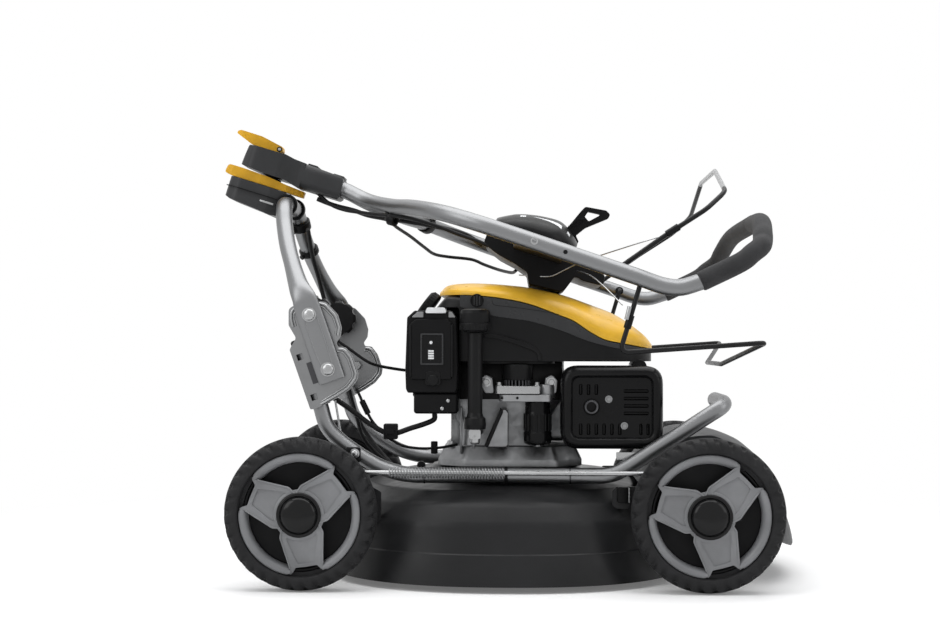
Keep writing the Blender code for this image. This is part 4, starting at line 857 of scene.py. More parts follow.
SLOT_HALF = 0.0045
SLOT_SWEEP = 15
SLOT_STEPS = 12
slot_points = []
for hand in (1, -1):
    for k in range(SLOT_STEPS + 1)[::hand]:
        x, z = polar(reach + SLOT_HALF * hand, middle - 3.5 + SLOT_SWEEP * k / SLOT_STEPS)
        slot_points.append((BOLT_LOW[0] + x, BOLT_LOW[1] + z))
for side, tag in SIDES:
    low, high = sorted((side * BRACKET_IN, side * BRACKET_OUT))
    shape = rounded(BRACKET, mm([8, 8, 8, 6, 10, 3, 3, 30, 30, 20, 10, 8, 10, 6, 4, 4, 6, 10, 10, 10,
        8]), 4)
    hole = circle(BOLT_LOW[0], BOLT_LOW[1], 0.0044)
    bracket = finished("fold_bracket_plate_" + tag, plate([shape, slot_points, hole], "Y", low, high),
        ZINC, "chassis", "fold_bracket_" + tag)
    foot = SPINE_LOW + Vector((0, side * FRAME_Y, 0))
    head = SPINE_TOP + Vector((0, side * FRAME_Y, 0))
    length = (head - foot).length
    carve(bracket, ring(foot, head - foot, 0.0117, 0.0148, 0.0, length, 40), "UNION")
    tilt = Matrix.Rotation(radians(18.7), 4, "Y").inverted()
    for where in ((-0.286, 0.318), (-0.266, 0.262)):
        window = block((-0.0045, -0.02, -0.0045), (0.0045, 0.02, 0.0045))
        window = moved(window, Matrix.Translation((where[0], side * 0.19, where[1])) @ tilt)
        carve(bracket, window)
    soften(bracket, 0.0006, 2, 40)
    plug_at = Vector((-0.2883, side * FRAME_Y, 0.335))
    axis = (plug_at - Vector((-0.249, side * FRAME_Y, 0.22))).normalized()
    plug = turned([(0, -10), (9.2, -10), (9.2, 0), (12.2, 0.2), (12.2, 6), (10, 8.2), (0, 8.6)], 0.0012,
        plug_at, axis, 28)
    finished("frame_tube_plug_" + tag, plug, BLACK, "chassis")
    for k, (lobe, centre) in enumerate(((RIM_UPPER, (-0.264, 0.37)), (RIM_LOWER, (-0.245, 0.298)))):
        for inset, size in ((0.0, 0.0023), (1.0, 0.0013)):
            pts = []
            for x, z in lobe:
                inward = (Vector(centre) - Vector((x, z))).normalized() * (RIM_INSET * inset)
                pts.append((x + inward.x, side * 0.1912, z + inward.y))
            bead = sweep(bent(pts, 0.01, 8), size, 10)
            # The rims take the lighter zinc: painted highlight along the bracket's edges.
            finished("bracket_bead_%d_%d_%s" % (k, int(inset), tag), bead, ZINC_HIGHLIGHT, "chassis", angle=60)
            if k == 1:
                inner = sweep(bent([(x, side * 0.1872, z) for x, y, z in pts], 0.01, 8), size, 10)
                finished("bracket_inner_bead_%d_%s" % (int(inset), tag), inner, ZINC_HIGHLIGHT, "chassis", angle=60)
    # A dark steel patch on each bracket where a recess would be: painted shade, the bracket's face is not
    # sunk there.
    recess_shade = plate([rounded(box_outline(-0.0045, -0.0155, 0.0045, 0.0155), 0.0008, 2)], "Y", -0.0006,
        0.0006)
    recess_shade = moved(recess_shade, Matrix.Translation((-0.268, side * 0.1916, 0.296)) @ tilt)
    finished("bracket_recess_shade_" + tag, recess_shade, DARK_STEEL, "chassis")

# Axles

ARM_TOP_LEVER = ((-0.012, 0, 0.009), (-0.007, 1, 0.004), (0, 1, 0.0075), (0.007, 1, 0.004),
    (0.011, 0, 0.006))
ARM_TOP = ((-0.006, 0, 0.011), (0.006, 0, 0.011), (0.0115, 0, 0.005))


def arm_outline(pivot, axle, lever):
    """Side outline of a trailing arm, from its axle to its pivot, with or without the lever on top."""
    px, pz = pivot
    d = Vector((axle[0] - px, axle[1] - pz)).normalized()
    n = Vector((-d.y, d.x))
    if n.y < 0:
        n = -n
    a = Vector(axle)
    corners = [a + d * 0.015 + n * 0.006, a + d * 0.006 + n * 0.014, a + n * 0.0145 - d * 0.006]
    corners += [Vector((px + x, pz + LEVER * up + z)) for x, up, z in (ARM_TOP_LEVER if lever
        else ARM_TOP)]
    corners += [Vector((px + 0.011, pz - 0.006)), Vector((px + 0.002, pz - 0.012)),
        a - n * 0.0145 - d * 0.004, a - n * 0.014 + d * 0.006, a + d * 0.015 - n * 0.006]
    return rounded([(c.x, c.y) for c in corners], 0.004, 4)


for label, fore in (("front_axle", 1), ("rear_axle", -1)):
    ax = AXLE_X * fore
    px = ax + ARM_X
    pz = AXLE_Z + ARM_Z
    half = mm([(0, 260), (6, 260), (6, 252.6), (6.1, 216), (9.3, 216), (9.3, 198.6), (8, 198)])
    profile = half + [(r, -y) for r, y in reversed(half)]
    finished(label + "_bar", lathe(profile, (ax, 0, AXLE_Z), (0, 1, 0), 32), ZINC, label, label, angle=40)
    for side, tag in SIDES:
        low, high = sorted((side * (ARM_Y - ARM_HALF), side * (ARM_Y + ARM_HALF)))
        outline = arm_outline((px, pz), (ax, AXLE_Z), side < 0)
        finished("%s_arm_%s" % (label, tag), plate([outline], "Y", low, high), ZINC, label, bevel=0.0006)
        finished("%s_pin_%s" % (label, tag), rod((px, side * 0.179, pz), (px, side * 0.2008, pz), 0.0061,
            24, 0.0006), STEEL, label)
        finished("%s_nut_%s" % (label, tag), bolt_head((ax, side * 0.2535, AXLE_Z), (0, side, 0), 0.0098,
            0.0063), STEEL, label)
    pin = rod((px, -ARM_Y, pz + LEVER), (px, -0.2122, pz + LEVER), 0.0029, 20, 0.0004)
    finished(label + "_rod_pin", pin, STEEL, label)

gear = finished("gearbox_case", block((-0.336, -0.055, 0.09), (-0.2655, 0.048, 0.156), 0.012, 4), ALLOY,
    "rear_axle", "gearbox")
carve(gear, rod((-AXLE_X, -0.1, AXLE_Z), (-AXLE_X, 0.1, AXLE_Z), 0.0086, 24))
tower = turned([(0, 152), (20, 152), (20, 173.5), (0, 175.8)], 0.002, (-0.306, -0.02, 0), UP, 40)
finished("gearbox_tower", tower, BLACK, "rear_axle")

rod_z = AXLE_Z + ARM_Z + LEVER
rear_pin = -AXLE_X + ARM_X
front_pin = AXLE_X + ARM_X
bar = merge(rod((rear_pin + 0.004, -ROD_Y, rod_z), (front_pin - 0.004, -ROD_Y, rod_z), 0.00325, 20),
    *[ring((x, -ROD_Y, rod_z), (0, 1, 0), 0.0033, 0.0068, -0.0028, 0.0028, 28, 0.0005, 3)
    for x in (rear_pin, front_pin)])
finished("height_rod_bar", bar, STEEL, "height_rod", "height_rod")

COIL_TURNS = 40
COIL_STEPS = 20
COIL_START = -0.16
COIL_LENGTH = 0.161
COIL_R = 0.0072
COIL_WIRE_R = 0.0009
coil = []
for k in range(COIL_TURNS * COIL_STEPS + 1):
    t = k / (COIL_TURNS * COIL_STEPS)
    angle = 2 * pi * COIL_TURNS * t
    coil.append(Vector((COIL_START + COIL_LENGTH * t, -ROD_Y + COIL_R * cos(angle),
        rod_z + COIL_R * sin(angle))))
finished("height_spring_wire", sweep(coil, COIL_WIRE_R, 8), ZINC, "height_rod", "height_spring", angle=60)

# Engine block

flange = rounded(mm([(-98.8, -70), (-60, -100), (75, -100), (112.5, -66), (112.5, 66), (75, 100),
    (-60, 100), (-98.8, 70)]), 0.016, 5)
FLANGE_MIDDLE = 0.0068
rings = []
for z, shrink in ((0.1582, 0.99), (0.159, 1.0), (0.1672, 1.0), (0.169, 0.994), (0.187, 0.912),
        (0.1885, 0.89)):
    rings.append([(FLANGE_MIDDLE + (x - FLANGE_MIDDLE) * shrink, y * shrink, z) for x, y in flange])
finished("engine_flange", loft(rings), ALLOY, "chassis", "crankcase", angle=25)
rings = []
for z, x0, x1, y in mm(((177, -74, 66, 86), (190, -69, 64, 84.2), (215, -66, 64, 84),
        (235, -76, 70, 86.2), (252, -90, 80, 90), (290, -94, 86, 92), (311, -94, 86, 92))):
    rings.append([(a, b, z) for a, b in rounded(box_outline(x0, -y, x1, y), 0.022, 6)])
case = finished("crankcase_body", loft(rings), ALLOY, "chassis")
carve(case, plate([rounded(box_outline(-0.0145, -0.15, 0.0695, -0.094), 0.01, 2)], "Z", 0.253, 0.2808))
finished("cylinder", block((0.06, -0.05, 0.193), (0.19, 0.05, 0.29), 0.008, 4), ALLOY, "chassis")
fins = [block((x, -0.064, 0.186), (x + 0.0022, 0.064, 0.296), 0.0008, 2)
    for x in mm((90, 99, 108, 117, 126, 135, 144, 153))]
finished("cylinder_fins", merge(*fins), ALLOY, "chassis")
ribs = []
for x in (-0.064, -0.0455):
    ribs.append(block((x - 0.0016, -0.093, 0.177), (x + 0.0016, -0.084, 0.244), 0.0008, 2))
for y in (-0.06, 0.0, 0.06):
    ribs.append(block((-0.08, y - 0.0016, 0.177), (-0.066, y + 0.0016, 0.235), 0.0008, 2))
finished("crankcase_ribs", merge(*ribs), ALLOY, "chassis")
bolts = []
for x, y in mm(((-80, -72), (48, -90.5), (95, -66), (-80, 72), (48, 90.5), (95, 66), (-15, -90.5))):
    bolts.append(bolt_head((x, y, 0.1875), UP, 0.0052, 0.006, 6, 0.0068))
finished("flange_bolts", merge(*bolts), STEEL, "chassis")
wedge = mm([(-27, 188), (-22.5, 188), (2, 188), (5, 191.5), (5, 238), (1, 243.5), (-3.5, 242.5)])
finished("crankcase_wedge", plate([wedge], "Y", -0.125, -0.085), ALLOY, "chassis", bevel=0.002)
strut = mm([(-30, 190), (-24, 188.5), (-2, 240), (-6, 245.5)])
finished("starter_strut", plate([strut], "Y", -0.1285, -0.118), SATIN, "chassis", bevel=0.0018)
lug = slab([(-33, 276), (-35, 286), (-27, 293), (-18, 288), (-15, 266), (-28, 266)], 0.004, 4, "Y",
    -0.133, -0.09)
finished("starter_lug_rear", lug, ALLOY, "chassis", bevel=0.0012)
lug = rounded(mm([(56, 266), (58, 288), (67, 293), (75.5, 285), (74, 266)]), 0.004, 4)
finished("starter_lug_front", plate([lug], "Y", -0.133, -0.09), ALLOY, "chassis", bevel=0.0012)
for x, tag in ((-0.0265, "rear"), (0.0668, "front")):
    finished("starter_lug_bolt_" + tag, bolt_head((x, -0.1325, 0.2822), RIGHT, 0.0048, 0.0055, 6,
        0.0068), STEEL, "chassis")
top_disc = plate([rounded(box_outline(-0.048, -0.137, 0.072, 0.125), 0.03, 6)], "Z", 0.3084, 0.3118)
finished("crankcase_top_plate", top_disc, SATIN, "chassis", bevel=0.0006)
finished("carburettor_barrel", rod((0.192, -0.06, 0.304), (0.192, -0.129, 0.304), 0.011, 32, 0.0015),
    SMOOTH_BLACK, "chassis")

# Engine cover and cowl


def eased_curve(points, per=8):
    """A smooth line through points of x and height."""
    return [(p.x, p.y) for p in smooth([(x, z, 0.0) for x, z in points], per)]


def level(points, x):
    """Height of a line of points at x."""
    if x <= points[0][0]:
        return points[0][1]
    for (x0, z0), (x1, z1) in zip(points, points[1:]):
        if x <= x1:
            return z0 + (z1 - z0) * (x - x0) / (x1 - x0)
    return points[-1][1]


def plan_half(x, x0, x1, half, corner):
    """Half the width of a round cornered plan at x."""
    if x < x0 + corner:
        d = (x0 + corner - x) / corner
        return half - corner * (1 - sqrt(max(0.0, 1 - d * d)))
    if x > x1 - corner:
        d = (x - x1 + corner) / corner
        return half - corner * (1 - sqrt(max(0.0, 1 - d * d)))
    return half


def rows(x0, x1, corner, middle=40, ends=16):
    """Rows along a round cornered plan, closer together where it turns."""
    out = [x0 + corner * (1 - cos(pi / 2 * k / ends)) for k in range(ends)]
    out += [x0 + corner + (x1 - x0 - 2 * corner) * k / middle for k in range(middle)]
    out += [x1 - corner * (1 - sin(pi / 2 * k / ends)) for k in range(ends + 1)]
    return out


def skin(bm, upper, lower):
    """Close two grids of points, one above the other, into a body."""
    last = len(upper[0]) - 1
    for i in range(len(upper) - 1):
        for k in range(last):
            bm.faces.new((upper[i][k], upper[i][k + 1], upper[i + 1][k + 1], upper[i + 1][k]))
            bm.faces.new((lower[i][k + 1], lower[i][k], lower[i + 1][k], lower[i + 1][k + 1]))
        for k in (0, last):
            bm.faces.new((upper[i][k], lower[i][k], lower[i + 1][k], upper[i + 1][k]))
    for end in (0, -1):
        for k in range(last):
            bm.faces.new((upper[end][k], upper[end][k + 1], lower[end][k + 1], lower[end][k]))
    return bm


def hood(x0, x1, half, corner, low, high, arch, across=48, middle=40, ends=16):
    """A domed cover on a round cornered plan, between two heights that are numbers or rules of x."""
    bm = bmesh.new()
    tops = []
    bottoms = []
    for x in rows(x0, x1, corner, middle, ends):
        y_half = max(0.006, plan_half(x, x0, x1, half, corner))
        z0 = low(x) if callable(low) else low
        z1 = high(x)
        top = []
        bottom = []
        for k in range(across + 1):
            t = -cos(pi * k / across)
            crown = (1 - abs(t) ** arch) ** (1 / arch)
            top.append(bm.verts.new((x, y_half * t, z0 + 0.0012 + (z1 - z0 - 0.0012) * crown)))
            bottom.append(bm.verts.new((x, y_half * t, z0)))
        tops.append(top)
        bottoms.append(bottom)
    return skin(bm, tops, bottoms)


EDGE_LINE = eased_curve(mm([(-95, 407), (-51, 406.6), (-8.5, 402.7), (34, 394.2), (76.5, 378.6),
    (97.8, 370.1), (119, 355.9), (140.3, 344.2), (157.3, 340), (185, 335), (207, 331)]))
CROWN_LINE = eased_curve(mm([(-95, 415), (-84, 424), (-56, 426.8), (-25, 426.2), (5, 424), (36, 420.5),
    (81, 411), (126, 395.5), (164, 380), (201, 354), (214, 339)]))
COVER_CORNER = 0.07
COVER_PLAN = (-0.096, 0.214, 0.146, COVER_CORNER)
COVER_ARCH = 2.6
COWL_FRONT = 0.213
COWL_BACK = -0.119
COWL_HALF = 0.1452
COWL_PLAN = (COWL_BACK, COWL_FRONT, COWL_HALF, COVER_CORNER)
COWL_ARCH = 16.0
HOOD_COLUMNS = 64
COWL_Z = 0.312


def edge_height(x):
    """Height of the joint between the yellow cover and the cowl."""
    return level(EDGE_LINE, x)


def crown_height(x):
    """Height of the yellow cover's middle line."""
    return level(CROWN_LINE, x)


def cowl_height(x):
    """The cowl's top, just under the cover and falling off behind it."""
    return min(edge_height(x) - 0.0012, 0.4058 - max(0.0, -0.085 - x) * 1.15)


cover = hood(*COVER_PLAN, edge_height, crown_height, COVER_ARCH, HOOD_COLUMNS)
finished("engine_cover_looks", cover, YELLOW, "chassis", "engine_cover", angle=40)
cap_axis = Vector((-0.8, 0.0, 0.6)).normalized()
cap_at = Vector((-0.1075, -0.052, 0.388))
cowl_body = hood(*COWL_PLAN, COWL_Z, cowl_height, COWL_ARCH, HOOD_COLUMNS, 60)
cowl_piece = finished("engine_cowl_looks", cowl_body, SATIN, "chassis", "engine_cowl", angle=40)
carve(cowl_piece, block((-0.2, -0.2, 0.3), (-0.065, -0.0955, 0.389), 0.004, 3))
carve(cowl_piece, ring(cap_at, cap_axis, 0, 0.024, -0.0006, 0.04, 48))
cowl_piece.data.set_sharp_from_angle(angle=radians(40))

BAND_LOW = eased_curve(mm([(-64, 389.5), (-40, 383), (-15.6, 376.5), (12, 372.5), (38.3, 368.5),
    (79.4, 356.2), (119, 340.8), (160.1, 330.6), (185, 329), (208, 328.6)]))
BAND_OUT = 0.0007
BAND_THICK = 0.003


def side_band(side):
    """The grey band: a thin skin on the cowl's side, under the yellow cover's edge."""
    rings = []
    for x, z in BAND_LOW:
        y = max(0.006, plan_half(x, *COWL_PLAN))
        upper = edge_height(x) - 0.0014
        outer, inner = (side * (y + BAND_OUT), side * (y + BAND_OUT - BAND_THICK))
        rings.append([(x, outer, upper), (x, outer, z), (x, inner, z), (x, inner, upper)])
    return loft(rings)


for side, tag in SIDES:
    finished("cowl_band_" + tag, side_band(side), BAND, "chassis", bevel=0.0004)
seam = mm([(-18.4, 400), (-17, 394.5), (-12.8, 391.8), (12.8, 388.8), (45, 384.5), (76.5, 379)])
seam_path = smooth([(x, -COWL_HALF - 0.0007, z) for x, z in seam], 8)
finished("cowl_seam", sweep(seam_path, 0.00035, 8), SMOOTH_BLACK, "chassis", angle=60)
lip_top = eased_curve(mm([(-29.8, 350.8), (-9.9, 349.6), (9.9, 345.2), (29.8, 338.8), (44, 331),
    (51, 321.5), (52, 313)]), 5)
lip_low = eased_curve(mm([(47, 313), (44, 324), (29, 331), (9.9, 337.8), (-9.9, 343.2), (-29.8, 346.2)]),
    5)
finished("cowl_lip", plate([lip_top + lip_low], "Y", -COWL_HALF - 0.0032, -COWL_HALF + 0.002), SATIN,
    "chassis", bevel=0.0012, segments=3)
vent_at = (-0.0397, -COWL_HALF - 0.0006, 0.3984)
vent = lathe(eased(mm([(0, 0), (9.6, 0), (9.6, 2.2), (8.4, 2.2), (8, 0.6), (0, 0.6)]), 0.0004, 2),
    vent_at, RIGHT, 40)
finished("cowl_vent", vent, SMOOTH_BLACK, "chassis")
bars = [block((vent_at[0] + dx - 0.0008, vent_at[1] - 0.002, vent_at[2] - h),
    (vent_at[0] + dx + 0.0008, vent_at[1], vent_at[2] + h)) for dx, h in mm(
    ((-4, 6.6), (0, 8), (4, 6.6)))]
finished("cowl_vent_bars", merge(*bars), BAND, "chassis", bevel=0.0003)
# A black sheet over the crankcase's upper part, just under the cowl: painted shade where the cowl shades
# the crankcase.
shade_sheet = block((-0.086, -0.0945, 0.256), (0.083, -0.0915, 0.3112), 0.001, 2)
finished("crankcase_shade_sheet", shade_sheet, SATIN, "chassis")

cap = eased(mm([(0, 0), (10, 0), (21.5, 0.5), (22.5, 4), (21.5, 13.5), (18, 16.5), (0, 17.5)]), 0.0012)
finished("fuel_cap_looks", lathe(cap, cap_at, cap_axis, 56), BLACK, "fuel_cap", "fuel_cap")
side_dir = Vector((0, 1, 0))
up_dir = cap_axis.cross(side_dir).normalized()
ridges = []
for k in range(28):
    angle = 2 * pi * k / 28
    d = side_dir * cos(angle) + up_dir * sin(angle)
    base_at = cap_at + d * 0.0216
    ridges.append(rod(base_at + cap_axis * 0.0045, base_at + cap_axis * 0.0128 - d * 0.0003, 0.0011, 8))
finished("fuel_cap_ridges", merge(*ridges), BLACK, "fuel_cap", angle=60)

# Muffler and its guard


def guard_ring(inset, y):
    """One round cornered outline of the guard, drawn in by an inset."""
    shape = rounded(box_outline(0.0795 + inset, 0.1885 + inset, 0.224 - inset, 0.306 - inset),
        max(0.008, 0.026 - inset * 0.9), 8)
    return [(x, y, z) for x, z in shape]


GUARD_RINGS = mm([(0, -108), (0, -150), (1.2, -156), (4, -160.5), (8, -163), (11.5, -163.3),
    (14, -161.8), (16, -158.5), (16.8, -157.2)])
GUARD_SLOTS = ((3, 0.105, 0.11, 0.265, 0.28, 0.011, 0.0), (6, 0.105, 0.11, 0.2085, 0.2246, 0.011, 0.0),
    (2, 0.19, 0.1945, 0.2085, 0.2246, 0.01, 0.0), (4, 0.168, 0.203, 0.2365, 0.2415, 0.0, 0.0105))
GUARD_IN, GUARD_OUT = (-0.15, -0.19)
shell = loft([guard_ring(inset, y) for inset, y in GUARD_RINGS])
guard = finished("muffler_guard_looks", shell, SMOOTH_BLACK, "chassis", "muffler_guard", angle=50)
for count, x0, x1, z0, z1, dx, dz in GUARD_SLOTS:
    for k in range(count):
        carve(guard, block((x0 + dx * k, GUARD_OUT, z0 + dz * k), (x1 + dx * k, GUARD_IN, z1 + dz * k),
            0.0015, 2))
carve(guard, rod((0.1225, GUARD_OUT, 0.248), (0.1225, GUARD_IN, 0.248), 0.012, 40))
guard.data.set_sharp_from_angle(angle=radians(50))
outlet = lathe(mm([(7.2, 0), (10, 0), (10, 14), (9.3, 14.8), (7.2, 14)]), (0.1225, -0.149, 0.248), RIGHT,
    40)
finished("muffler_outlet", outlet, DARK_STEEL, "chassis", "muffler")
finished("muffler_can", block((0.09, -0.148, 0.202), (0.212, -0.09, 0.296), 0.014, 5), DARK_STEEL,
    "chassis")
finished("muffler_pipe", rod((0.15, -0.1, 0.245), (0.15, -0.0642, 0.245), 0.014, 32), DARK_STEEL,
    "chassis")
for x, z, tag in ((0.147, 0.259, "upper"), (0.169, 0.2215, "lower")):
    finished("guard_bolt_" + tag, bolt_head((x, -0.156, z), RIGHT, 0.0036, 0.0045, 6, 0.0052), ZINC,
        "chassis")

# Battery and its holder

finished("battery_foot", block((-0.129, -0.157, 0.2375), (-0.066, -0.096, 0.2668), 0.0045, 4), BLACK,
    "chassis", "battery_holder")
finished("battery_back", block((-0.133, -0.118, 0.26), (-0.068, -0.096, 0.38), 0.003, 3), BLACK,
    "chassis")
screws = [dome_head((x, -0.1568, z), RIGHT, 0.003, 0.0016) for x, z in ((-0.08, 0.256), (-0.0885, 0.245))]
finished("battery_foot_screws", merge(*screws), STEEL, "chassis")
case = slab([(-140, 273), (-137.5, 267.2), (-69, 267.2), (-66.5, 273), (-65.5, 300), (-67.5, 374),
    (-76, 383.8), (-128, 383.8), (-138.5, 374), (-141, 300)], 0.004, 4, "Y", -0.16, -0.1184)
finished("battery_case", case, BLACK, "battery_pack", "battery_pack", bevel=0.003, segments=4)
face = slab([(-133, 286), (-74.5, 286), (-74.5, 366), (-82, 372), (-125.5, 372), (-133, 366)], 0.004, 4,
    "Y", -0.1645, -0.158)
finished("battery_face", face, BLACK, "battery_pack", bevel=0.0022, segments=3)
rails = [block((x0, -0.1655, 0.29), (x1, -0.158, 0.364)) for x0, x1 in ((-0.0758, -0.0728),
    (-0.1346, -0.1318))]
finished("battery_rails", merge(*rails), SATIN, "battery_pack", bevel=0.0009)
screen_rim = plate([rounded(box_outline(-0.119, 0.307, -0.0865, 0.3515), 0.002, 3),
    rounded(box_outline(-0.1168, 0.3092, -0.0887, 0.3493), 0.001, 3)], "Y", -0.1662, -0.16)
finished("battery_screen_rim", screen_rim, BAND, "battery_pack", bevel=0.0004)
finished("battery_screen", block((-0.1172, -0.1651, 0.3088), (-0.0883, -0.16, 0.3497)), SMOOTH_BLACK,
    "battery_pack")
marks = [block((-0.108, -0.1655, z), (-0.1, -0.1648, z + 0.0026), 0.0003, 1)
    for z in (0.315, 0.3184, 0.3218, 0.3252)]
marks.append(rod((-0.104, -0.1648, 0.3385), (-0.104, -0.1655, 0.3385), 0.0022, 24))
finished("battery_level_marks", merge(*marks), WHITE, "battery_pack")
clip = slab([(-113, 380), (-109.5, 388), (-85, 388), (-81.5, 380)], 0.0025, 4, "Y", -0.1672, -0.135)
finished("battery_clip", clip, WHITE, "battery_pack", bevel=0.0009)
# Zinc plates on the battery's two upper corners: painted highlights on the slanted black shoulders.
shoulder_highlights = [slab(points, 0.001, 2, "Y", -0.1622, -0.156) for points in (
    [(-132.5, 374), (-123.5, 382), (-115, 382), (-115, 374)], [(-79.5, 374), (-79.5, 382), (-74.5, 382),
    (-69, 374)])]
finished("battery_shoulder_highlights", merge(*shoulder_highlights), ZINC, "battery_pack", bevel=0.0005)
button = turned([(0, 0), (8.2, 0), (8.2, 6.2), (7, 7.4), (0, 7.8)], 0.0008, (-0.101, -0.1594, 0.285),
    RIGHT, 40)
finished("battery_button", button, SATIN, "battery_pack")
seat = slab([(-111, 298), (-113, 278), (-90, 278), (-90.5, 298)], 0.004, 4, "Y", -0.1652, -0.16)
finished("battery_button_seat", seat, SMOOTH_BLACK, "battery_pack", bevel=0.0008)

# Oil filler and dipstick

FILLER_X, FILLER_Y = (-0.0415, -0.171)
FILLER = (FILLER_X, FILLER_Y, 0)
tube = turned([(0, 208), (6, 208), (6, 216), (15, 217), (15.8, 223), (15, 232), (11.8, 235), (10.5, 240),
    (10.5, 352.4), (7.6, 352.4), (7.6, 220), (0, 220)], 0.0008, FILLER, UP)
finished("filler_tube", tube, SATIN, "chassis", "oil_filler_tube")
stub = turned([(0, 196), (6, 196), (7.2, 198.5), (7.2, 216.5), (0, 216.5)], 0.0005, FILLER, UP, 32)
finished("filler_stub", stub, STEEL, "chassis")
tab = [rounded(box_outline(-0.0497, 0.2035, -0.0333, 0.2168), 0.0035, 4),
    circle(FILLER_X, 0.2075, 0.0015)]
finished("filler_tab", plate(tab, "Y", -0.18, -0.178), STEEL, "chassis", bevel=0.0004)
finished("filler_neck", rod((FILLER_X, FILLER_Y, 0.21), (FILLER_X + 0.004, -0.087, 0.21), 0.0058, 28),
    SATIN, "chassis")
stick = turned([(0, 228), (2.2, 228), (2.2, 340), (7, 343), (7, 352.9), (14, 352.9), (20.5, 356),
    (21.3, 362), (21.3, 365), (20.8, 365.6), (20.8, 366.8), (21.5, 367.4), (21.5, 380), (19.6, 384.5),
    (15, 386), (0, 386)], 0.0012, FILLER, UP, 56)
finished("dipstick_looks", stick, SATIN, "dipstick", "dipstick")
ridges = upright_ring(FILLER_X, FILLER_Y, 0.3568, 0.0207, 0.0084, 0.0012, 16, 10)
finished("dipstick_ridges", ridges, SATIN, "dipstick", angle=60)

# Starter

STARTER_X, STARTER_Y = (0.047, -0.124)
motor = turned([(0, 192.5), (15, 192.5), (19.2, 195), (20, 198.5), (20, 210), (19.4, 210.6), (19.4, 235),
    (18, 240), (18, 254), (0, 254)], 0.0008, (STARTER_X, STARTER_Y, 0), UP, 56)
finished("starter_can", motor, SMOOTH_BLACK, "chassis", "starter_motor")
ribs = upright_ring(STARTER_X, STARTER_Y, 0.213, 0.0192, 0.024, 0.0012, 18, 8, 0.1)
finished("starter_ribs", ribs, SATIN, "chassis", angle=60)
case = slab([(-8.5, -147), (68, -147), (68, -94.5), (-8.5, -94.5)], 0.01, 6, "Z", 0.2543, 0.2648)
finished("starter_gear_case", case, ALLOY, "chassis", "starter_housing", bevel=0.0014, segments=3)
case = slab([(-13, -148), (51, -148), (51, -94.5), (-13, -94.5)], 0.004, 4, "Z", 0.2655, 0.277)
finished("starter_gear_cover", case, STEEL, "chassis", bevel=0.001)
finished("starter_gear_shoulder", rod((0.06, -0.128, 0.26), (0.06, -0.128, 0.279), 0.012, 40, 0.0012),
    ALLOY, "chassis")
finished("starter_drum", rod((0.018, -0.123, 0.285), (0.018, -0.123, 0.308), 0.0225, 56, 0.0015), SATIN,
    "chassis")
teeth = upright_ring(0.018, -0.123, 0.276, 0.018, 0.0092, 0.0017, 22, 8)
finished("starter_pinion", teeth, DARK_STEEL, "chassis", angle=60)
bolts = [bolt_head((x, -0.14, 0.2768), UP, 0.004, 0.0042, 6, 0.0052) for x in (-0.0078, 0.0458)]
finished("starter_bolts", merge(*bolts), STEEL, "chassis")
# Black discs on the gear case's side stand in for two holes: painted shade, nothing is cut.
hole_shades = [ring((x, -0.1462, 0.26), RIGHT, 0, 0.002, 0, 0.0012, 20) for x in (-0.004, 0.018)]
finished("starter_hole_shades", merge(*hole_shades), SMOOTH_BLACK, "chassis")

# Air filter on the far side

air = hood(-0.085, 0.055, 0.026, 0.018, 0.242, lambda x: 0.31, 6.0, 32, 16, 8)
bmesh.ops.translate(air, verts=air.verts, vec=(0, 0.1205, 0))
finished("air_filter_shell", air, BLACK, "chassis", "air_filter_cover", angle=40)
louvres = [block((-0.07, 0.144, z), (0.04, 0.1463, z + 0.003), 0.0006, 2)
    for z in (0.256, 0.266, 0.276, 0.286)]
finished("air_filter_louvres", merge(*louvres), SATIN, "chassis")

# Blade and its shaft

BLADE_HALF = 0.236
BLADE_LOW, BLADE_TOP = (0.04, 0.044)
shaft = ring(ORIGIN, UP, 0, 0.0125, 0.064, 0.298, 36, 0.0008, 3)
finished("crankshaft_looks", shaft, DARK_STEEL, "blade_shaft", "crankshaft")
hub = turned([(12.8, 45), (28, 45), (30, 52), (22, 58), (20, 90), (12.8, 90)], 0.0012, ORIGIN, UP)
finished("blade_holder_looks", hub, DARK_STEEL, "blade_shaft", "blade_holder")


def blade_section(x):
    """The blade's outline at a place along it: narrower at the tips, one edge bent up."""
    half = 0.028 - 0.0085 * min(1.0, max(0.0, (abs(x) - 0.15) / 0.086))
    rise = 0.009 * min(1.0, max(0.0, (abs(x) - 0.155) / 0.035))
    back, front = (rise, 0.0) if x < 0 else (0.0, rise)
    inner = half * 0.35
    return [(x, -half, BLADE_LOW + back), (x, -inner, BLADE_LOW), (x, inner, BLADE_LOW),
        (x, half, BLADE_LOW + front), (x, half, BLADE_TOP + front), (x, inner, 0.0446),
        (x, -inner, 0.0446), (x, -half, BLADE_TOP + back)]


blade = loft([blade_section(-BLADE_HALF + 2 * BLADE_HALF * k / 60) for k in range(61)])
blade = finished("blade_looks", blade, DARK_STEEL, "blade_shaft", "blade")
carve(blade, rod((0, 0, 0.03), (0, 0, 0.06), 0.0067, 24))
washer = turned([(0, 36.4), (19, 36.4), (19, 39.6), (6.3, 39.6), (6.3, 63.6), (0, 63.6)], 0.0005, ORIGIN,
    UP, 40)
finished("blade_washer", washer, STEEL, "blade_shaft", "blade_bolt")
finished("blade_bolt_head", bolt_head((0, 0, 0.0366), (0, 0, -1), 0.012, 0.0074), STEEL, "blade_shaft")

# Lower handle

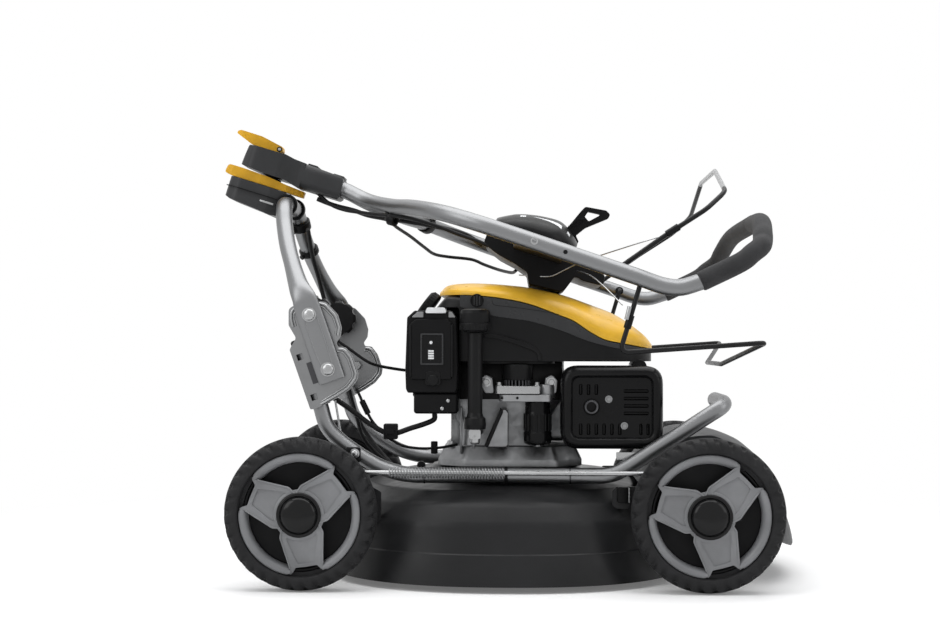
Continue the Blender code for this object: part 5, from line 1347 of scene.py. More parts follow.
leg = [(CROSSBAR[0], -0.044, CROSSBAR[1]), (-0.3277, -0.064, 0.541), (-0.3258, -0.082, 0.529),
    (-0.3225, -0.0965, 0.509), (-0.314, -0.123, 0.478), (-0.3035, -0.148, 0.45),
    (-0.2935, -0.173, 0.426), (-0.2865, -0.19, 0.412), (-0.2792, -LEG_Y - 0.0007, 0.399),
    (-0.2745, -LEG_Y, 0.384), (-0.263, -LEG_Y, 0.351), (-0.24, -LEG_Y, 0.285)]
half_sizes = [(0.012, 0.012)] * 6 + mm([(11.2, 13.5), (9.5, 15.2), (6.2, 17.2), (5.2, 18.6), (5, 19),
    (5, 19)])
leg_path = smooth(leg, 6)
leg_sizes = [(p.x, p.y) for p in smooth([(a, b, 0.0) for a, b in half_sizes], 6)]
path = list(reversed(leg_path)) + [Vector((p.x, -p.y, p.z)) for p in leg_path]
sizes = list(reversed(leg_sizes)) + leg_sizes
KNOB_PROFILE = [(4.6, 0), (12, 0), (12.2, -20), (15, -23.8), (26, -24.5), (28.5, -27.5), (28.5, -39),
    (25, -42.5), (0, -43.5), (0, -39), (4.6, -39)]
finished("lower_handle_tube", sweep(path, 0.012, 32, sizes=sizes), TUBE, "lower_handle", "lower_handle",
    angle=60)
for side, tag in SIDES:
    for (x, z), inner, where in ((BOLT_TOP, 0.15, "top"), (BOLT_LOW, 0.183, "low")):
        at = (x, side * 0.202, z)
        washer = ring(at, (0, side, 0), 0, 0.01, 0, 0.0016, 36, 0.0004)
        washer = moved(washer, Matrix.Translation((0, side * 0.0008, 0)))
        dome = dome_head((x, side * 0.204, z), (0, side, 0), 0.0084, 0.0038)
        shank = rod((x, side * inner, z), (x, side * 0.2035, z), 0.004, 20)
        finished("handle_bolt_%s_%s" % (where, tag), merge(washer, dome, shank), STEEL, "lower_handle")
    down = (Vector(BOLT_LOW) - Vector(BOLT_TOP)).normalized()
    for hand in (-1, 1):
        across = Vector((-down.y, down.x)) * (0.0062 * hand)
        pts = []
        for along, narrow in ((-0.024, 0.5), (0.01, 1.0), (0.052, 1.0), (0.074, 0.8)):
            spot = Vector(BOLT_TOP) + down * along + across * narrow * 1.5
            pts.append((spot.x, side * 0.2016, spot.y))
        fold = sweep(bent(pts, 0.01, 6), 0.0013, 12)
        finished("foot_fold_%d_%s" % (hand, tag), fold, TUBE, "lower_handle", angle=60)
    nut = bolt_head((BOLT_LOW[0], side * 0.1874, BOLT_LOW[1]), (0, -side, 0), 0.0075, 0.007)
    finished("handle_nut_" + tag, nut, STEEL, "lower_handle")
    at = Vector((BOLT_TOP[0], side * 0.1878, BOLT_TOP[1]))
    knob_mesh = turned(KNOB_PROFILE, 0.0015, at, (0, side, 0), 64)
    knob_piece = finished("clamp_knob_looks_" + tag, knob_mesh, SATIN, "clamp_knob_" + tag,
        "clamp_knob_" + tag)
    for k in range(8):
        angle = 2 * pi * (k + 0.5) / 8
        groove = at + Vector((0.0325 * cos(angle), 0, 0.0325 * sin(angle)))
        low, high = [groove - Vector((0, side * depth, 0)) for depth in (0.02, 0.048)]
        carve(knob_piece, rod(low, high, 0.0075, 24))
    knob_piece.data.set_sharp_from_angle(angle=radians(40))

# Handle joint


def in_joint(bm):
    """Move a mesh into the handle joint's slanted frame."""
    return moved(bm, placed(JOINT, JOINT_U, Vector((0, 1, 0)), JOINT_W))


def joint_solid(name, side_shape, half, plan_shape, low, high, mat, body, node, bevel):
    """A body with a side outline and a plan outline in the joint's slanted frame."""
    ob = finished(name, in_joint(plate([side_shape], "Y", -half, half)), mat, body, node)
    carve(ob, in_joint(plate([plan_shape], "Z", low, high)), "INTERSECT")
    soften(ob, bevel, 4, 38)
    return ob


plan = rounded(mm([(-55.5, -30), (-40, -42), (10, -42), (42, -33), (42, 33), (10, 42), (-40, 42),
    (-55.5, 30)]), 0.016, 8)
base_side = rounded(mm([(-54.5, 13.5), (-56, -16.5), (-45, -20.3), (-5, -23.5), (20, -26.2), (33, -24),
    (39.5, -18), (40.5, 0), (33, 13)]), mm([2, 3, 4, 10, 8, 8, 6, 8, 2]), 6)
base = joint_solid("joint_base_looks", base_side, 0.044, plan, -0.05, 0.05, GREY, "joint_base",
    "joint_base", 0.0015)
carve(base, rod((CROSSBAR[0], -0.06, CROSSBAR[1]), (CROSSBAR[0], 0.06, CROSSBAR[1]), 0.0126, 40))
boss = lathe(mm([(0, 10), (15, 10), (15, 30), (10, 30), (10, 56), (0, 56)]), ORIGIN, UP, 48)
finished("joint_boss", in_joint(boss), BLACK, "joint_base")
seam_shape = offset(plan + plan[:1], -0.0004)[:-1]
groove = plate([seam_shape, offset(plan + plan[:1], 0.003)[:-1]], "Z", -0.0018, -0.0006)
finished("joint_base_seam", in_joint(groove), SMOOTH_BLACK, "joint_base")
slot_bar = block((0.0, -0.0425, -0.0112), (0.0215, -0.0385, -0.0082), 0.0006, 2)
finished("joint_slot_plate", in_joint(slot_bar), STEEL, "joint_base")
for side, tag in SIDES:
    collar = ring((CROSSBAR[0], side * 0.037, CROSSBAR[1]), (0, side, 0), 0.0122, 0.0165, 0, 0.008, 48,
        0.001, 3)
    finished("joint_collar_" + tag, collar, SMOOTH_BLACK, "joint_base")

head_side = rounded(mm([(-46.8, 35), (-42, 66.5), (16, 68), (30, 65.5), (106, 61), (109, 57), (111, 31),
    (108, 26.5), (45, 26.2), (25, 31), (-10, 31.2)]), mm([2, 3, 4, 10, 3, 2, 2, 3, 10, 10, 4]), 5)
head_plan = rounded(mm([(-46.8, -26), (-32, -40), (12, -40), (42, -29), (113, -29), (113, 29), (42, 29),
    (12, 40), (-32, 40), (-46.8, 26)]), mm([16, 16, 16, 10, 4, 4, 10, 16, 16, 16]), 7)
head = joint_solid("joint_head_looks", head_side, 0.042, head_plan, 0.0, 0.09, GREY, "upper_handle",
    "joint_head", 0.0035)
carve(head, in_joint(ring(ORIGIN, UP, 0, 0.0104, 0.02, 0.0563, 40)))
sleeve = rounded(box_outline(-0.0291, 0.0262, 0.0291, 0.065), 0.0135, 7)
corners = plate([box_outline(-0.06, 0.0, 0.06, 0.09), sleeve], "X", 0.048, 0.12)
carve(head, in_joint(corners))
for y, tag in ((-0.013, "right"), (0.013, "left")):
    carve(head, in_joint(rod((0.042, y, 0.044), (0.13, y, 0.044), 0.0121, 40)))
    ridge = in_joint(sweep(smooth([(0.03, y * 1.9, 0.05), (0.042, y * 1.75, 0.0545),
        (0.07, y * 1.7, 0.0545), (0.108, y * 1.7, 0.0535)], 6), 0.004, 20))
    finished("joint_head_rib_" + tag, ridge, BAND, "upper_handle", angle=60)
steps = [block((0.05, -0.02, 0.063), (0.065, 0.02, 0.0664), 0.0008, 2),
    block((0.091, -0.02, 0.06), (0.1075, 0.02, 0.0632), 0.0008, 2)]
finished("joint_head_steps", in_joint(merge(*steps)), GREY, "upper_handle")

lever_shape = rounded(mm([(56, -7), (56, 7), (45, 10), (25, 0), (20, -19), (-25, -20), (-56, -6),
    (-66, -8), (-67, -24), (-56, -33), (-10, -36), (30, -29), (48, -15)]), 0.005, 5)
wedge = rounded(mm([(-68, 16.5), (-64, 29.8), (-40, 29.9), (0, 28.1), (30, 24.6), (57, 23.4), (57, 13.8),
    (0, 13.8), (-50, 13.8)]), mm([5, 5, 10, 10, 10, 3, 3, 10, 10]), 5)
joint_solid("tilt_lever_looks", wedge, 0.06, lever_shape, 0.0142, 0.03, AMBER, "tilt_lever",
    "tilt_lever", 0.0016)
swivel_side = rounded(mm([(3, 69.2), (5.6, 72.6), (3, 79), (-30, 85), (-64, 85), (-69, 82.5), (-69, 79),
    (-42, 69)]), mm([1, 1, 3, 20, 4, 2, 2, 6]), 5)
swivel_plan = rounded(mm([(9, -10), (-15, -15), (-60, -19), (-70, -12), (-70, 12), (-60, 19), (-15, 15),
    (9, 10)]), 0.006, 6)
joint_solid("swivel_lever_looks", swivel_side, 0.021, swivel_plan, 0.05, 0.1, AMBER, "swivel_lever",
    "swivel_lever", 0.0014)
pin = ring((0.0, 0.0128, 0.0742), RIGHT, 0, 0.0024, 0, 0.0256, 24, 0.0004)
finished("swivel_pin", in_joint(pin), STEEL, "swivel_lever")
washers = merge(*[ring((0.0, side * 0.0116, 0.0742), (0, side, 0), 0.0024, 0.004, 0, 0.0016, 24, 0.0003)
    for side in (-1, 1)])
finished("swivel_pin_rings", in_joint(washers), SMOOTH_BLACK, "swivel_lever")

# Upper handle and foam grip


def evenly(path, step):
    """The same path with points a fixed step apart."""
    out = [path[0].copy()]
    left = step
    for a, b in zip(path, path[1:]):
        length = (b - a).length
        at = 0.0
        while length - at >= left:
            at += left
            out.append(a.lerp(b, at / length))
            left = step
        left -= length - at
    if (out[-1] - path[-1]).length > step * 0.4:
        out.append(path[-1].copy())
    else:
        out[-1] = path[-1].copy()
    return out


def run_length(path):
    """Lengths along a path, from its start to each point."""
    total = [0.0]
    for a, b in zip(path, path[1:]):
        total.append(total[-1] + (b - a).length)
    return total


def eased_ends(path, radius, ends, drop):
    """Radii that fall by a drop over the last stretch at both ends, in a quarter round."""
    along = run_length(path)
    out = []
    for s in along:
        t = min(1.0, min(s, along[-1] - s) / ends)
        out.append(radius - drop * (1 - sqrt(max(0.0, 1 - (1 - t) ** 2))))
    return out


FOAM_R = 0.0136
FOAM_END = 0.004
FOAM_DROP = 0.0013
handle_start = JOINT + JOINT_U * 0.045 + JOINT_W * 0.044 + Vector((0, -0.013, 0))
mouth = JOINT + JOINT_U * 0.117 + JOINT_W * 0.044 + Vector((0, -0.013, 0))
run = [handle_start] + smooth([mouth, (-0.205, -0.033, 0.55), (-0.165, -0.09, 0.5375),
    (-0.13, -0.156, 0.53), (-0.085, -0.23, 0.5165), (-0.035, -0.262, 0.4998), (0.02, -HANDLE_Y, 0.4812)],
    8)[:-1]
run += [Vector((0.02, -HANDLE_Y, 0.4812)), Vector((0.1, -HANDLE_Y, 0.4541))]
rear_end = smooth([(0.18, -HANDLE_Y, 0.427), (0.213, -HANDLE_Y, 0.4155), (0.237, -HANDLE_Y, 0.413),
    (0.2633, -HANDLE_Y, 0.4205)], 8)
grip = smooth([(0.2633, -HANDLE_Y, 0.4205), (0.3163, -HANDLE_Y, 0.4463), (0.333, -0.266, 0.459),
    (0.3447, -0.258, 0.4678), (0.35, -0.244, 0.4745), (0.354, -0.22, 0.4877), (0.362, -0.15, 0.5085),
    (0.3735, 0.0, 0.5185)], 8)
whole_handle = evenly(mirrored(run + rear_end[:-1] + grip), 0.006)
finished("upper_handle_tube", sweep(whole_handle, HANDLE_R, 32, side=JOINT_W), TUBE, "upper_handle",
    "upper_handle", angle=60)
foam_path = evenly(mirrored(grip), 0.0018)
foam_radii = eased_ends(foam_path, FOAM_R, FOAM_END, FOAM_DROP)
foam_grip = finished("grip_foam_looks", sweep(foam_path, foam_radii, 40), FOAM, "upper_handle",
    "grip_foam", angle=60)

# Control panel


def in_panel(bm):
    """Move a mesh into the control panel's slanted frame."""
    return moved(bm, placed(PANEL, PANEL_T, Vector((0, 1, 0)), PANEL_N))


def on_panel(a, y, b):
    """A point of the control panel's frame: along it, across the mower and out of it."""
    return PANEL + PANEL_T * a + PANEL_N * b + Vector((0, y, 0))


shell = rounded(mm([(-70, 20), (-71.5, -14), (-43.7, -23.6), (-19.6, -27.7), (2.3, -34.1), (10.7, -50),
    (57.2, -46), (63.4, -40), (71.1, -17.3), (84.3, -20.5), (108, -18.6), (114.4, -15), (111.6, -2.2),
    (75, 5), (58.7, 23)]), mm([3, 8, 10, 10, 6, 4, 4, 4, 6, 6, 3, 3, 4, 10, 4]), 5)
panel = finished("control_panel_shell", in_panel(plate([shell], "Y", -0.088, 0.088)), BLACK,
    "upper_handle", "control_panel", bevel=0.004, segments=4)
LEVER_SLOT = mm(((10, -7.2, 13), (90, 7.2, 80)))
carve(panel, in_panel(block(*LEVER_SLOT)))
for side, tag in SIDES:
    low, high = sorted((side * 0.084, side * 0.2556))
    wing = in_panel(block((-0.028, low, -0.008), (0.046, high, 0.0085), 0.0035, 4))
    finished("panel_wing_" + tag, wing, BLACK, "upper_handle")
    ribs = [in_panel(block((-0.023, side * y - 0.001, 0.007), (0.041, side * y + 0.001, 0.0098), 0.0006,
        2)) for y in (0.12, 0.15, 0.18, 0.21)]
    finished("panel_wing_ribs_" + tag, merge(*ribs), SATIN, "upper_handle")
    tube_y = side * (HANDLE_Y + HANDLE_R * 0.85)
    screw = turned([(0, 0), (5.2, 0), (5.2, 3.2), (3, 3.2), (2.6, 1.6), (0, 1.6)], 0.0004,
        (0.041, tube_y, 0.4747), (0, side, 0), 28, 2)
    finished("tube_screw_" + tag, screw, STEEL, "upper_handle")
    # A black disc on the tube's side stands in for a hole: painted shade, the tube is not cut.
    hole = ring((0.0825, tube_y, 0.46), (0, side, 0), 0, 0.003, 0, 0.0026, 28, 0.0003)
    finished("tube_hole_shade_" + tag, hole, SMOOTH_BLACK, "upper_handle")
DOME_CURVE = eased_curve(mm([(-66, 33), (-50, 42), (-37.1, 48.1), (-13.6, 54.3), (7.7, 57.3),
    (23.6, 57.7), (34.2, 54.3), (42.4, 49), (60, 35)]))
DOME_PLAN = (-0.066, 0.06, 0.108, 0.055)
DOME_ARCH = 2.2
DOME_FOOT = 0.0212
dome = hood(*DOME_PLAN, 0.02, lambda x: level(DOME_CURVE, x), DOME_ARCH, HOOD_COLUMNS, 10, 22)
dome_piece = finished("control_panel_dome", in_panel(dome), SATIN, "upper_handle", angle=40)
carve(dome_piece, in_panel(block(*LEVER_SLOT)))
rim = [(a, y, 0.0196) for a, y in rounded(box_outline(-0.064, -0.105, 0.058, 0.105), 0.05, 14)]
rim_path = [on_panel(*spot) for spot in rim]
rim_path.append(rim_path[0])
finished("control_panel_rim", sweep(rim_path, 0.0018, 10, side=PANEL_N), SMOOTH_BLACK, "upper_handle",
    angle=60)


def on_dome(a, y):
    """Height of the domed cover over the panel's plane."""
    t = min(1.0, abs(y) / plan_half(a, *DOME_PLAN))
    return DOME_FOOT + (level(DOME_CURVE, a) - DOME_FOOT) * (1 - t ** DOME_ARCH) ** (1 / DOME_ARCH)

WEDGE_RUN = 0.047


def dome_patch(name, a0, a1, side, y_low, y_high, mat, growth=0, lift=0.0004, count=16):
    """A printed patch that follows the domed cover, wider towards its end by a growth."""
    bm = bmesh.new()
    upper = []
    lower = []
    for i in range(count + 1):
        a = a0 + (a1 - a0) * i / count
        row = []
        under = []
        inner = side * y_low
        outer = side * (y_high + growth * (a - a0) / WEDGE_RUN)
        for k in range(9):
            y = inner + (outer - inner) * k / 8
            h = on_dome(a, y)
            row.append(bm.verts.new(on_panel(a, y, h + lift)))
            under.append(bm.verts.new(on_panel(a, y, h - 0.001)))
        upper.append(row)
        lower.append(under)
    return finished(name, skin(bm, upper, lower), mat, "upper_handle", angle=70)


for side, tag in SIDES:
    dome_patch("dial_wedge_" + tag, -0.015, 0.03, side, 0.074, 0.074, WHITE, 0.013)
    dome_patch("dial_spot_" + tag, -0.033, -0.025, side, 0.072, 0.08, WHITE, count=8)
    dome_patch("dial_mark_" + tag, 0.04, 0.045, side, 0.07, 0.08, WHITE, count=6)

# Throttle lever

lever_out = rounded(mm([(93.2, 512.9), (114.2, 538.3), (120.1, 544.2), (151.5, 538.3), (157.5, 532.3),
    (154.5, 526.3), (120.1, 512.1), (102.2, 497.9)]), mm([2, 10, 5, 5, 4, 5, 10, 2]), 6)
lever_hole = rounded(mm([(119, 529), (124, 536.5), (144, 532.2), (125, 522)]), 0.002, 4)
finished("throttle_knob", plate([lever_out, lever_hole], "Y", -0.0064, 0.0064), BLACK, "throttle_lever",
    "throttle_lever", bevel=0.0024, segments=4)
shank = slab([(19, 19), (30, 14), (46, 24), (62, 37), (52, 48), (36, 40), (22, 34)], 0.003, 4, "Y",
    -0.006, 0.006)
finished("throttle_shank", in_panel(shank), BLACK, "throttle_lever", bevel=0.001)
grooves = []
for k in range(7):
    t = k / 6
    at = Vector((0.0985 + 0.015 * t, 0, 0.5128 + 0.0125 * t))
    grooves.append(block(at - Vector((0.007, 0.007, 0.0005)), at + Vector((0.008, 0.007, 0.0006)),
        0.0003, 1))
finished("throttle_ribs", merge(*grooves), SMOOTH_BLACK, "throttle_lever")

# Bails

ARM_END_Y = 0.2556
ARM_IN_Y = 0.247
BAIL_R = 0.0034
BARE_R = 0.00345
BARE_LOW_Y, BARE_HIGH_Y = (-0.212, 0.096)
brake = [(BRAKE_PIVOT[0], -ARM_END_Y, BRAKE_PIVOT[1]), (BRAKE_PIVOT[0], -ARM_IN_Y, BRAKE_PIVOT[1]),
    (0.218, -ARM_IN_Y, 0.484), (0.274, -ARM_IN_Y, 0.52), (0.3025, -0.226, 0.546), (0.305, -0.087, 0.589)]
brake_half = bent(brake, [0.004, 0.0, 0.035, 0.03], 10)
brake_path = evenly(mirrored(brake_half), 0.004)
bare = [p for p in brake_path if BARE_LOW_Y < p.y < BARE_HIGH_Y]
finished("brake_bail_rod", sweep(brake_path, BAIL_R, 16, side=(1, 0, 0)), COATED, "brake_bail",
    "brake_bail", angle=60)
finished("brake_bail_bare", sweep(bare, BARE_R, 16, side=UP), BARE, "brake_bail", angle=60)
drive = [(DRIVE_PIVOT[0], -ARM_END_Y, DRIVE_PIVOT[1]), (DRIVE_PIVOT[0], -ARM_IN_Y, DRIVE_PIVOT[1]),
    (0.157, -ARM_IN_Y, 0.325), (0.354, -ARM_IN_Y, 0.339), (0.314, -0.087, 0.308)]
drive_path = mirrored(bent(drive, [0.004, 0.01, 0.008], 8))
finished("drive_bail_rod", sweep(drive_path, BAIL_R, 16, side=(1, 0, 0)), COATED, "drive_bail",
    "drive_bail", angle=60)
for side, tag in SIDES:
    for (x, z), name in ((BRAKE_PIVOT, "brake"), (DRIVE_PIVOT, "drive")):
        plug = turned([(4, 0), (6.8, 0), (6, 4.6), (4, 4.6)], 0.0006, (x, side * 0.2508, z),
            (0, side, 0), 28)
        finished("%s_bail_bush_%s" % (name, tag), plug, SMOOTH_BLACK, "upper_handle")

# Cables


def cord_piece(name, points, radius, body, node=None, mat=CABLE, per=8):
    path = smooth(points, per)
    ob = finished(name, sweep(path, radius, 16), mat, body, node, angle=70)


cord_piece("handle_cable_bundle", mm([(-36, -50, 484), (-60, -70, 498), (-95, -85, 507),
    (-135, -80, 515), (-170, -56, 521.5), (-205, -30, 529), (-230, -16, 538), (-260, -12, 546),
    (-286, -12, 556)]), 0.0035, "upper_handle", "handle_cable")
cord_piece("leg_cable_sleeve", mm([(-310, 60, 515), (-308, 100, 475), (-302, 123, 445), (-297, 136, 420),
    (-281.4, 138.5, 359.6), (-265.3, 140, 295), (-250.7, 140, 246.7), (-238, 139, 214), (-222, 137, 188),
    (-202, 127, 164), (-180, 113, 142)]), 0.0035, "chassis", "leg_cable")
cord_piece("engine_cable_sleeve", mm([(-244, -150, 260), (-220.3, -149, 243.7), (-191.9, -148, 222.4),
    (-164.9, -147, 208.2), (-152.1, -146, 210), (-135, -144, 216), (-113, -141, 223),
    (-101, -139.5, 229), (-100, -139.5, 236.9)]), 0.0038, "chassis", "engine_cable")
cord_piece("handle_cable_second", mm([(-288, -12, 567), (-265.6, -17, 547.5), (-243.8, -23, 538.5),
    (-218, -42, 533), (-188.4, -72, 527), (-155.9, -108, 521.5), (-130, -120, 516.5),
    (-97.7, -120, 506.4), (-69.8, -105, 496.5), (-41.2, -90, 487), (-25.1, -85, 480.1)]), 0.0028,
    "upper_handle")
cord_piece("handle_cable_left", mm([(-206, -30, 529), (-193, -6, 527.5), (-180, 20, 525),
    (-169.4, 56, 516.9), (-152.7, 105, 506.7), (-133.6, 155, 492.5), (-119.6, 195, 483.7),
    (-98.2, 225, 480.9), (-60.1, 235, 477), (-38.2, 225, 467.8), (-12.6, 190, 457.4), (8, 120, 450),
    (15, 86, 452)]), 0.0026, "upper_handle")
cord_piece("battery_lead", mm([(-270, -160, 356), (-242.8, -159, 346.3), (-236.4, -157, 340.3),
    (-219.2, -150, 327.6), (-197.6, -140, 311.9), (-181, -125, 304.8), (-150, -110, 299),
    (-130, -107, 297.5)]), 0.0022, "chassis")
cord_piece("bowden_cable", mm([(-210.7, -156, 273.8), (-205.1, -154, 261.1), (-200.8, -152, 251.2),
    (-185.7, -147, 222.7), (-155.3, -135, 195), (-127.5, -125, 186.8), (-95.1, -112, 186.6),
    (-70, -90, 190)]), 0.002, "chassis")
cord_piece("drive_cable", mm([(-251.7, 90, 280.9), (-246.6, 95, 257.2), (-236.3, 100, 218.9),
    (-227.8, 103, 190), (-208.2, 107, 164), (-182.9, 107, 145)]), 0.003, "chassis")
cord_piece("brake_wire", mm([(20, -70, 438), (52.4, -88, 435.1), (68.1, -98, 435.6), (85, -110, 443.3),
    (101.6, -125, 450.9), (130.3, -170, 460), (182.3, -230, 474.5), (216, -246.5, 484)]), 0.0009,
    "upper_handle", mat=STEEL)
cord_piece("drive_wire", mm([(103.1, -100, 443), (118.8, -150, 435.1), (135.8, -200, 418.8),
    (161, -240, 390)]), 0.0009, "upper_handle", mat=STEEL)


def band(name, at, axis, inner, width, thick, body, mat=BLACK):
    """A cable tie or clip round a point, with a small lock on its side."""
    axis = Vector(axis).normalized()
    at = Vector(at)
    loop = ring(at, axis, inner, inner + thick, -width / 2, width / 2, 32, thick * 0.3)
    side_way = axis.orthogonal().normalized()
    start = inner + thick * 0.5
    lock = rod(at + side_way * start, at + side_way * (start + width * 0.6), width * 0.45, 12)
    finished(name, merge(loop, lock), mat, body, angle=50)


FRAME_BORE = FRAME_R + 0.0001
BANDS = (("tie_handle_near", (-0.1618, -0.084, 0.53), (1.0, -1.3, -0.3), 0.0124, 0.009, 0.0024,
    "upper_handle"), ("tie_handle_middle", (-0.165, -0.093, 0.5175), (1.0, -0.6, -0.3), 0.0045, 0.012,
    0.004, "upper_handle"), ("tie_handle_left", (-0.131, 0.156, 0.53), (0.4, 1.0, -0.2), 0.0117, 0.016,
    0.003, "upper_handle"), ("clip_leg_upper", (-0.325, 0.086, 0.5236), (0.0033, 0.0145, -0.02), 0.0122,
    0.014, 0.0036, "lower_handle"), ("clip_leg_lower", (-0.3158, 0.1173, 0.4847),
    (0.0085, 0.0265, -0.031), 0.0122, 0.009, 0.0034, "lower_handle"),
    ("strap_tube", (0.0024, -FRAME_Y, TUBE_Z), (1, 0, 0), FRAME_BORE, 0.0045, 0.0016, "chassis"))
for settings in BANDS:
    band(*settings)
for x, where in ((-0.112, "rear"), (0.092, "front")):
    band("mark_tube_" + where, (x, -FRAME_Y, TUBE_Z), (1, 0, 0), FRAME_BORE, 0.002, 0.0008, "chassis",
        DARK_STEEL)
plug_box = merge(block((-0.172, -0.156, 0.201), (-0.152, -0.139, 0.223), 0.002, 2),
    block((-0.168, -0.159, 0.208), (-0.156, -0.136, 0.216), 0.001, 2))
finished("cable_connector", plug_box, BLACK, "chassis")
finished("cable_splice", rod((-0.203, -0.1525, 0.256), (-0.194, -0.15, 0.237), 0.0042, 20, 0.001), BLACK,
    "chassis")
finished("linkage_rod", rod((-0.2406, -0.156, 0.256), (-0.2322, -0.156, 0.208), 0.0016, 12), STEEL,
    "chassis")
knobs = merge(rod((-0.102, -0.112, 0.178), (-0.102, -0.112, 0.196), 0.005, 20, 0.0015),
    rod((-0.1186, -0.15, 0.164), (-0.1186, -0.14, 0.164), 0.006, 20, 0.0015))
finished("deck_rubber_knobs", knobs, BLACK, "chassis")
latch = merge(block((0.157, -0.1985, 0.1165), (0.172, -0.1884, 0.1387), 0.002, 2),
    rod((0.1645, -0.199, 0.134), (0.1645, -0.1884, 0.134), 0.0045, 20, 0.0008))
finished("deck_latch", latch, BLACK, "chassis")
# A bright steel strip down the black latch's right edge: painted highlight.
finished("deck_latch_edge_highlight", block((0.1722, -0.1975, 0.1175), (0.1736, -0.1884, 0.1377)), STEEL, "chassis")
finished("tube_hook_plate", block((0.157, -0.168, 0.174), (0.189, -0.166, 0.185), 0.0008, 2), STEEL,
    "chassis")
for side, tag in SIDES:
    at = Vector((-0.213, side * 0.186, 0.1835))
    clip = block(at + Vector((-0.009, -0.004, -0.013)), at + Vector((0.012, 0.004, 0.0085)), 0.003, 2)
    washer = ring(at + Vector((0.004, side * 0.004, 0.0)), (0, side, 0), 0, 0.0068, 0, 0.0014, 28, 0.0004)
    dome = dome_head(at + Vector((0.004, side * 0.0052, 0.0)), (0, side, 0), 0.0048, 0.0026)
    finished("tube_clip_bolt_" + tag, merge(washer, dome), STEEL, "chassis")
    finished("tube_clip_" + tag, clip, BLACK, "chassis")
ferrule = bent(mm([(220, -252.5, 485.3), (236, -252.5, 495.6)]), 0.0)
finished("brake_ferrule_clamp", sweep(ferrule, 0.0052, 16, side=UP), SMOOTH_BLACK, "brake_bail", angle=50)
finished("drive_ferrule_clamp", rod((0.1668, -0.247, 0.358), (0.1722, -0.247, 0.3762), 0.0052, 20,
    0.001), SMOOTH_BLACK, "drive_bail")
finished("drive_ferrule_tip", rod((0.1655, -0.253, 0.37), (0.17, -0.253, 0.388), 0.003, 16, 0.0006),
    STEEL, "drive_bail")

# Camera, floor and light

PHOTO_EYE = Vector((0.0252, -2.3845, 0.3392))
YAW, PITCH, ROLL = (radians(1.913), radians(1.043), radians(0.101))
FOCAL_PX = 1572.9
PHOTO_WIDTH_PX = 940.0
camera = bpy.data.objects.new("camera", bpy.data.cameras.new("camera"))
bpy.context.scene.collection.objects.link(camera)
camera.data.sensor_width = 36.0
camera.data.lens = FOCAL_PX * camera.data.sensor_width / PHOTO_WIDTH_PX
turn = Matrix.Rotation(YAW, 4, "Z") @ Matrix.Rotation(pi / 2 + PITCH, 4, "X") @ Matrix.Rotation(ROLL, 4,
    "Z")
camera.matrix_world = Matrix.Translation(PHOTO_EYE) @ turn
bpy.context.scene.camera = camera

floor_mesh = bpy.data.meshes.new("floor")
floor_mesh.from_pydata([(-8, -8, 0), (8, -8, 0), (8, 12, 0), (-8, 12, 0)], [], [(0, 1, 2, 3)])
floor = bpy.data.objects.new("floor", floor_mesh)
bpy.context.scene.collection.objects.link(floor)
floor_look = Look("floor_paper", (0.87, 0.87, 0.87), 0.8, specular=0.2)
floor_look.tone(floor_look.noise(0.8, 2.0), 0.99, 1.01)
floor_mesh.materials.append(floor_look.mat)


def math_node(tree, operation, a, b):
    """The result of one sum on two values."""
    return add_node(tree, "Math", {0: a, 1: b}, operation=operation).outputs[0]


def seen_rays(tree):
    """1 for rays from the camera, from gloss and through glass, else 0."""
    rays = tree.nodes.new("ShaderNodeLightPath").outputs
    total = math_node(tree, "MAXIMUM", rays["Is Camera Ray"], rays["Is Glossy Ray"])
    return math_node(tree, "MAXIMUM", total, rays["Is Transmission Ray"])


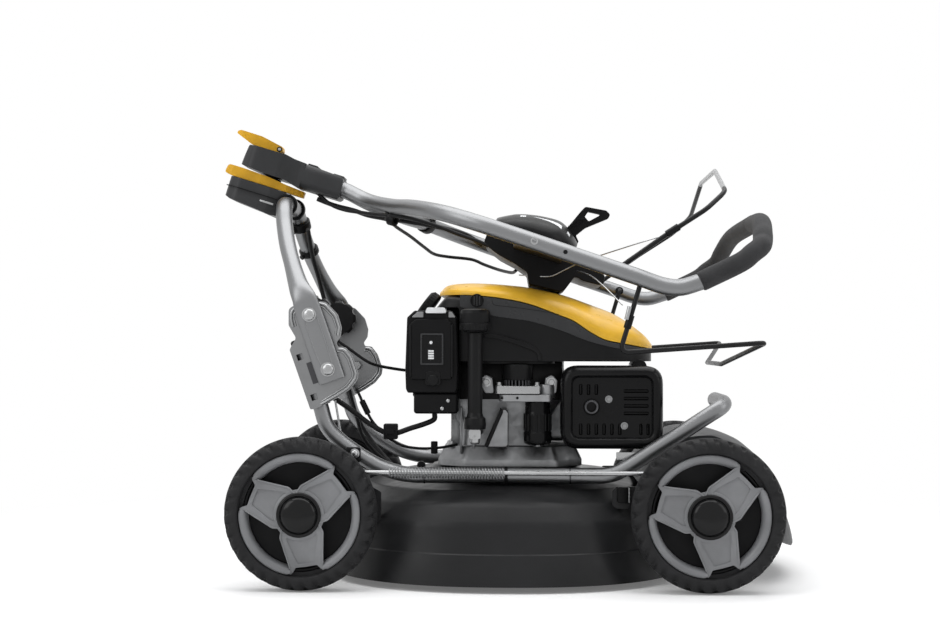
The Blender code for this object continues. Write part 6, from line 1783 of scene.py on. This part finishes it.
def fade_floor(look, near, far, glow):
    """Fade the floor to plain white with distance, and lift it a little near the object."""
    tree = look.tree
    rays = seen_rays(tree)
    place = add_node(tree, "NewGeometry").outputs["Position"]
    length = add_node(tree, "VectorMath", {0: place}, operation="LENGTH").outputs["Value"]
    ramp = add_node(tree, "MapRange", {"From Min": near, "From Max": far, "Value": length},
        interpolation_type="SMOOTHSTEP")
    look.drive("Emission Strength", math_node(tree, "MULTIPLY", rays, glow))
    look.shader.inputs["Emission Color"].default_value = (1, 1, 1, 1)
    white = add_node(tree, "Emission", {"Strength": 1.0}).outputs["Emission"]
    share = math_node(tree, "MULTIPLY", rays, ramp.outputs["Result"])
    both = add_node(tree, "MixShader", {"Fac": share, 1: look.shader.outputs["BSDF"], 2: white})
    out = next((n for n in tree.nodes if n.type == "OUTPUT_MATERIAL"))
    tree.links.new(both.outputs["Shader"], out.inputs["Surface"])


fade_floor(floor_look, 0.55, 1.25, 0.14)

world = bpy.data.worlds.new("studio")
world.use_nodes = True
bpy.context.scene.world = world
tree = world.node_tree
tree.nodes.clear()
seen = add_node(tree, "Background", {"Color": (1, 1, 1, 1), "Strength": 1.0}).outputs["Background"]
fill = add_node(tree, "Background", {"Color": (0.97, 0.98, 1.0, 1), "Strength": 0.42})
mix = add_node(tree, "MixShader", {"Fac": seen_rays(tree), 1: fill.outputs["Background"], 2: seen})
add_node(tree, "OutputWorld", {"Surface": mix.outputs["Shader"]})


def softbox(name, at, target, width, height, power):
    """A wide lamp that looks at a target."""
    data = bpy.data.lights.new(name, "AREA")
    data.shape = "RECTANGLE"
    data.size = width
    data.size_y = height
    data.energy = power
    ob = bpy.data.objects.new(name, data)
    bpy.context.scene.collection.objects.link(ob)
    ob.location = at
    ob.rotation_euler = (Vector(target) - Vector(at)).to_track_quat("-Z", "Y").to_euler()


softbox("top_softbox", (0.0, 0.0, 2.3), (0.0, 0.0, 0.2), 3.0, 2.6, 64.0)
softbox("left_softbox", (-2.0, -1.6, 1.5), (0.0, 0.0, 0.3), 1.4, 1.6, 17.0)
softbox("right_softbox", (2.2, -1.2, 1.3), (0.0, 0.0, 0.3), 1.2, 1.6, 9.0)

bpy.context.scene.view_settings.view_transform = "Standard"
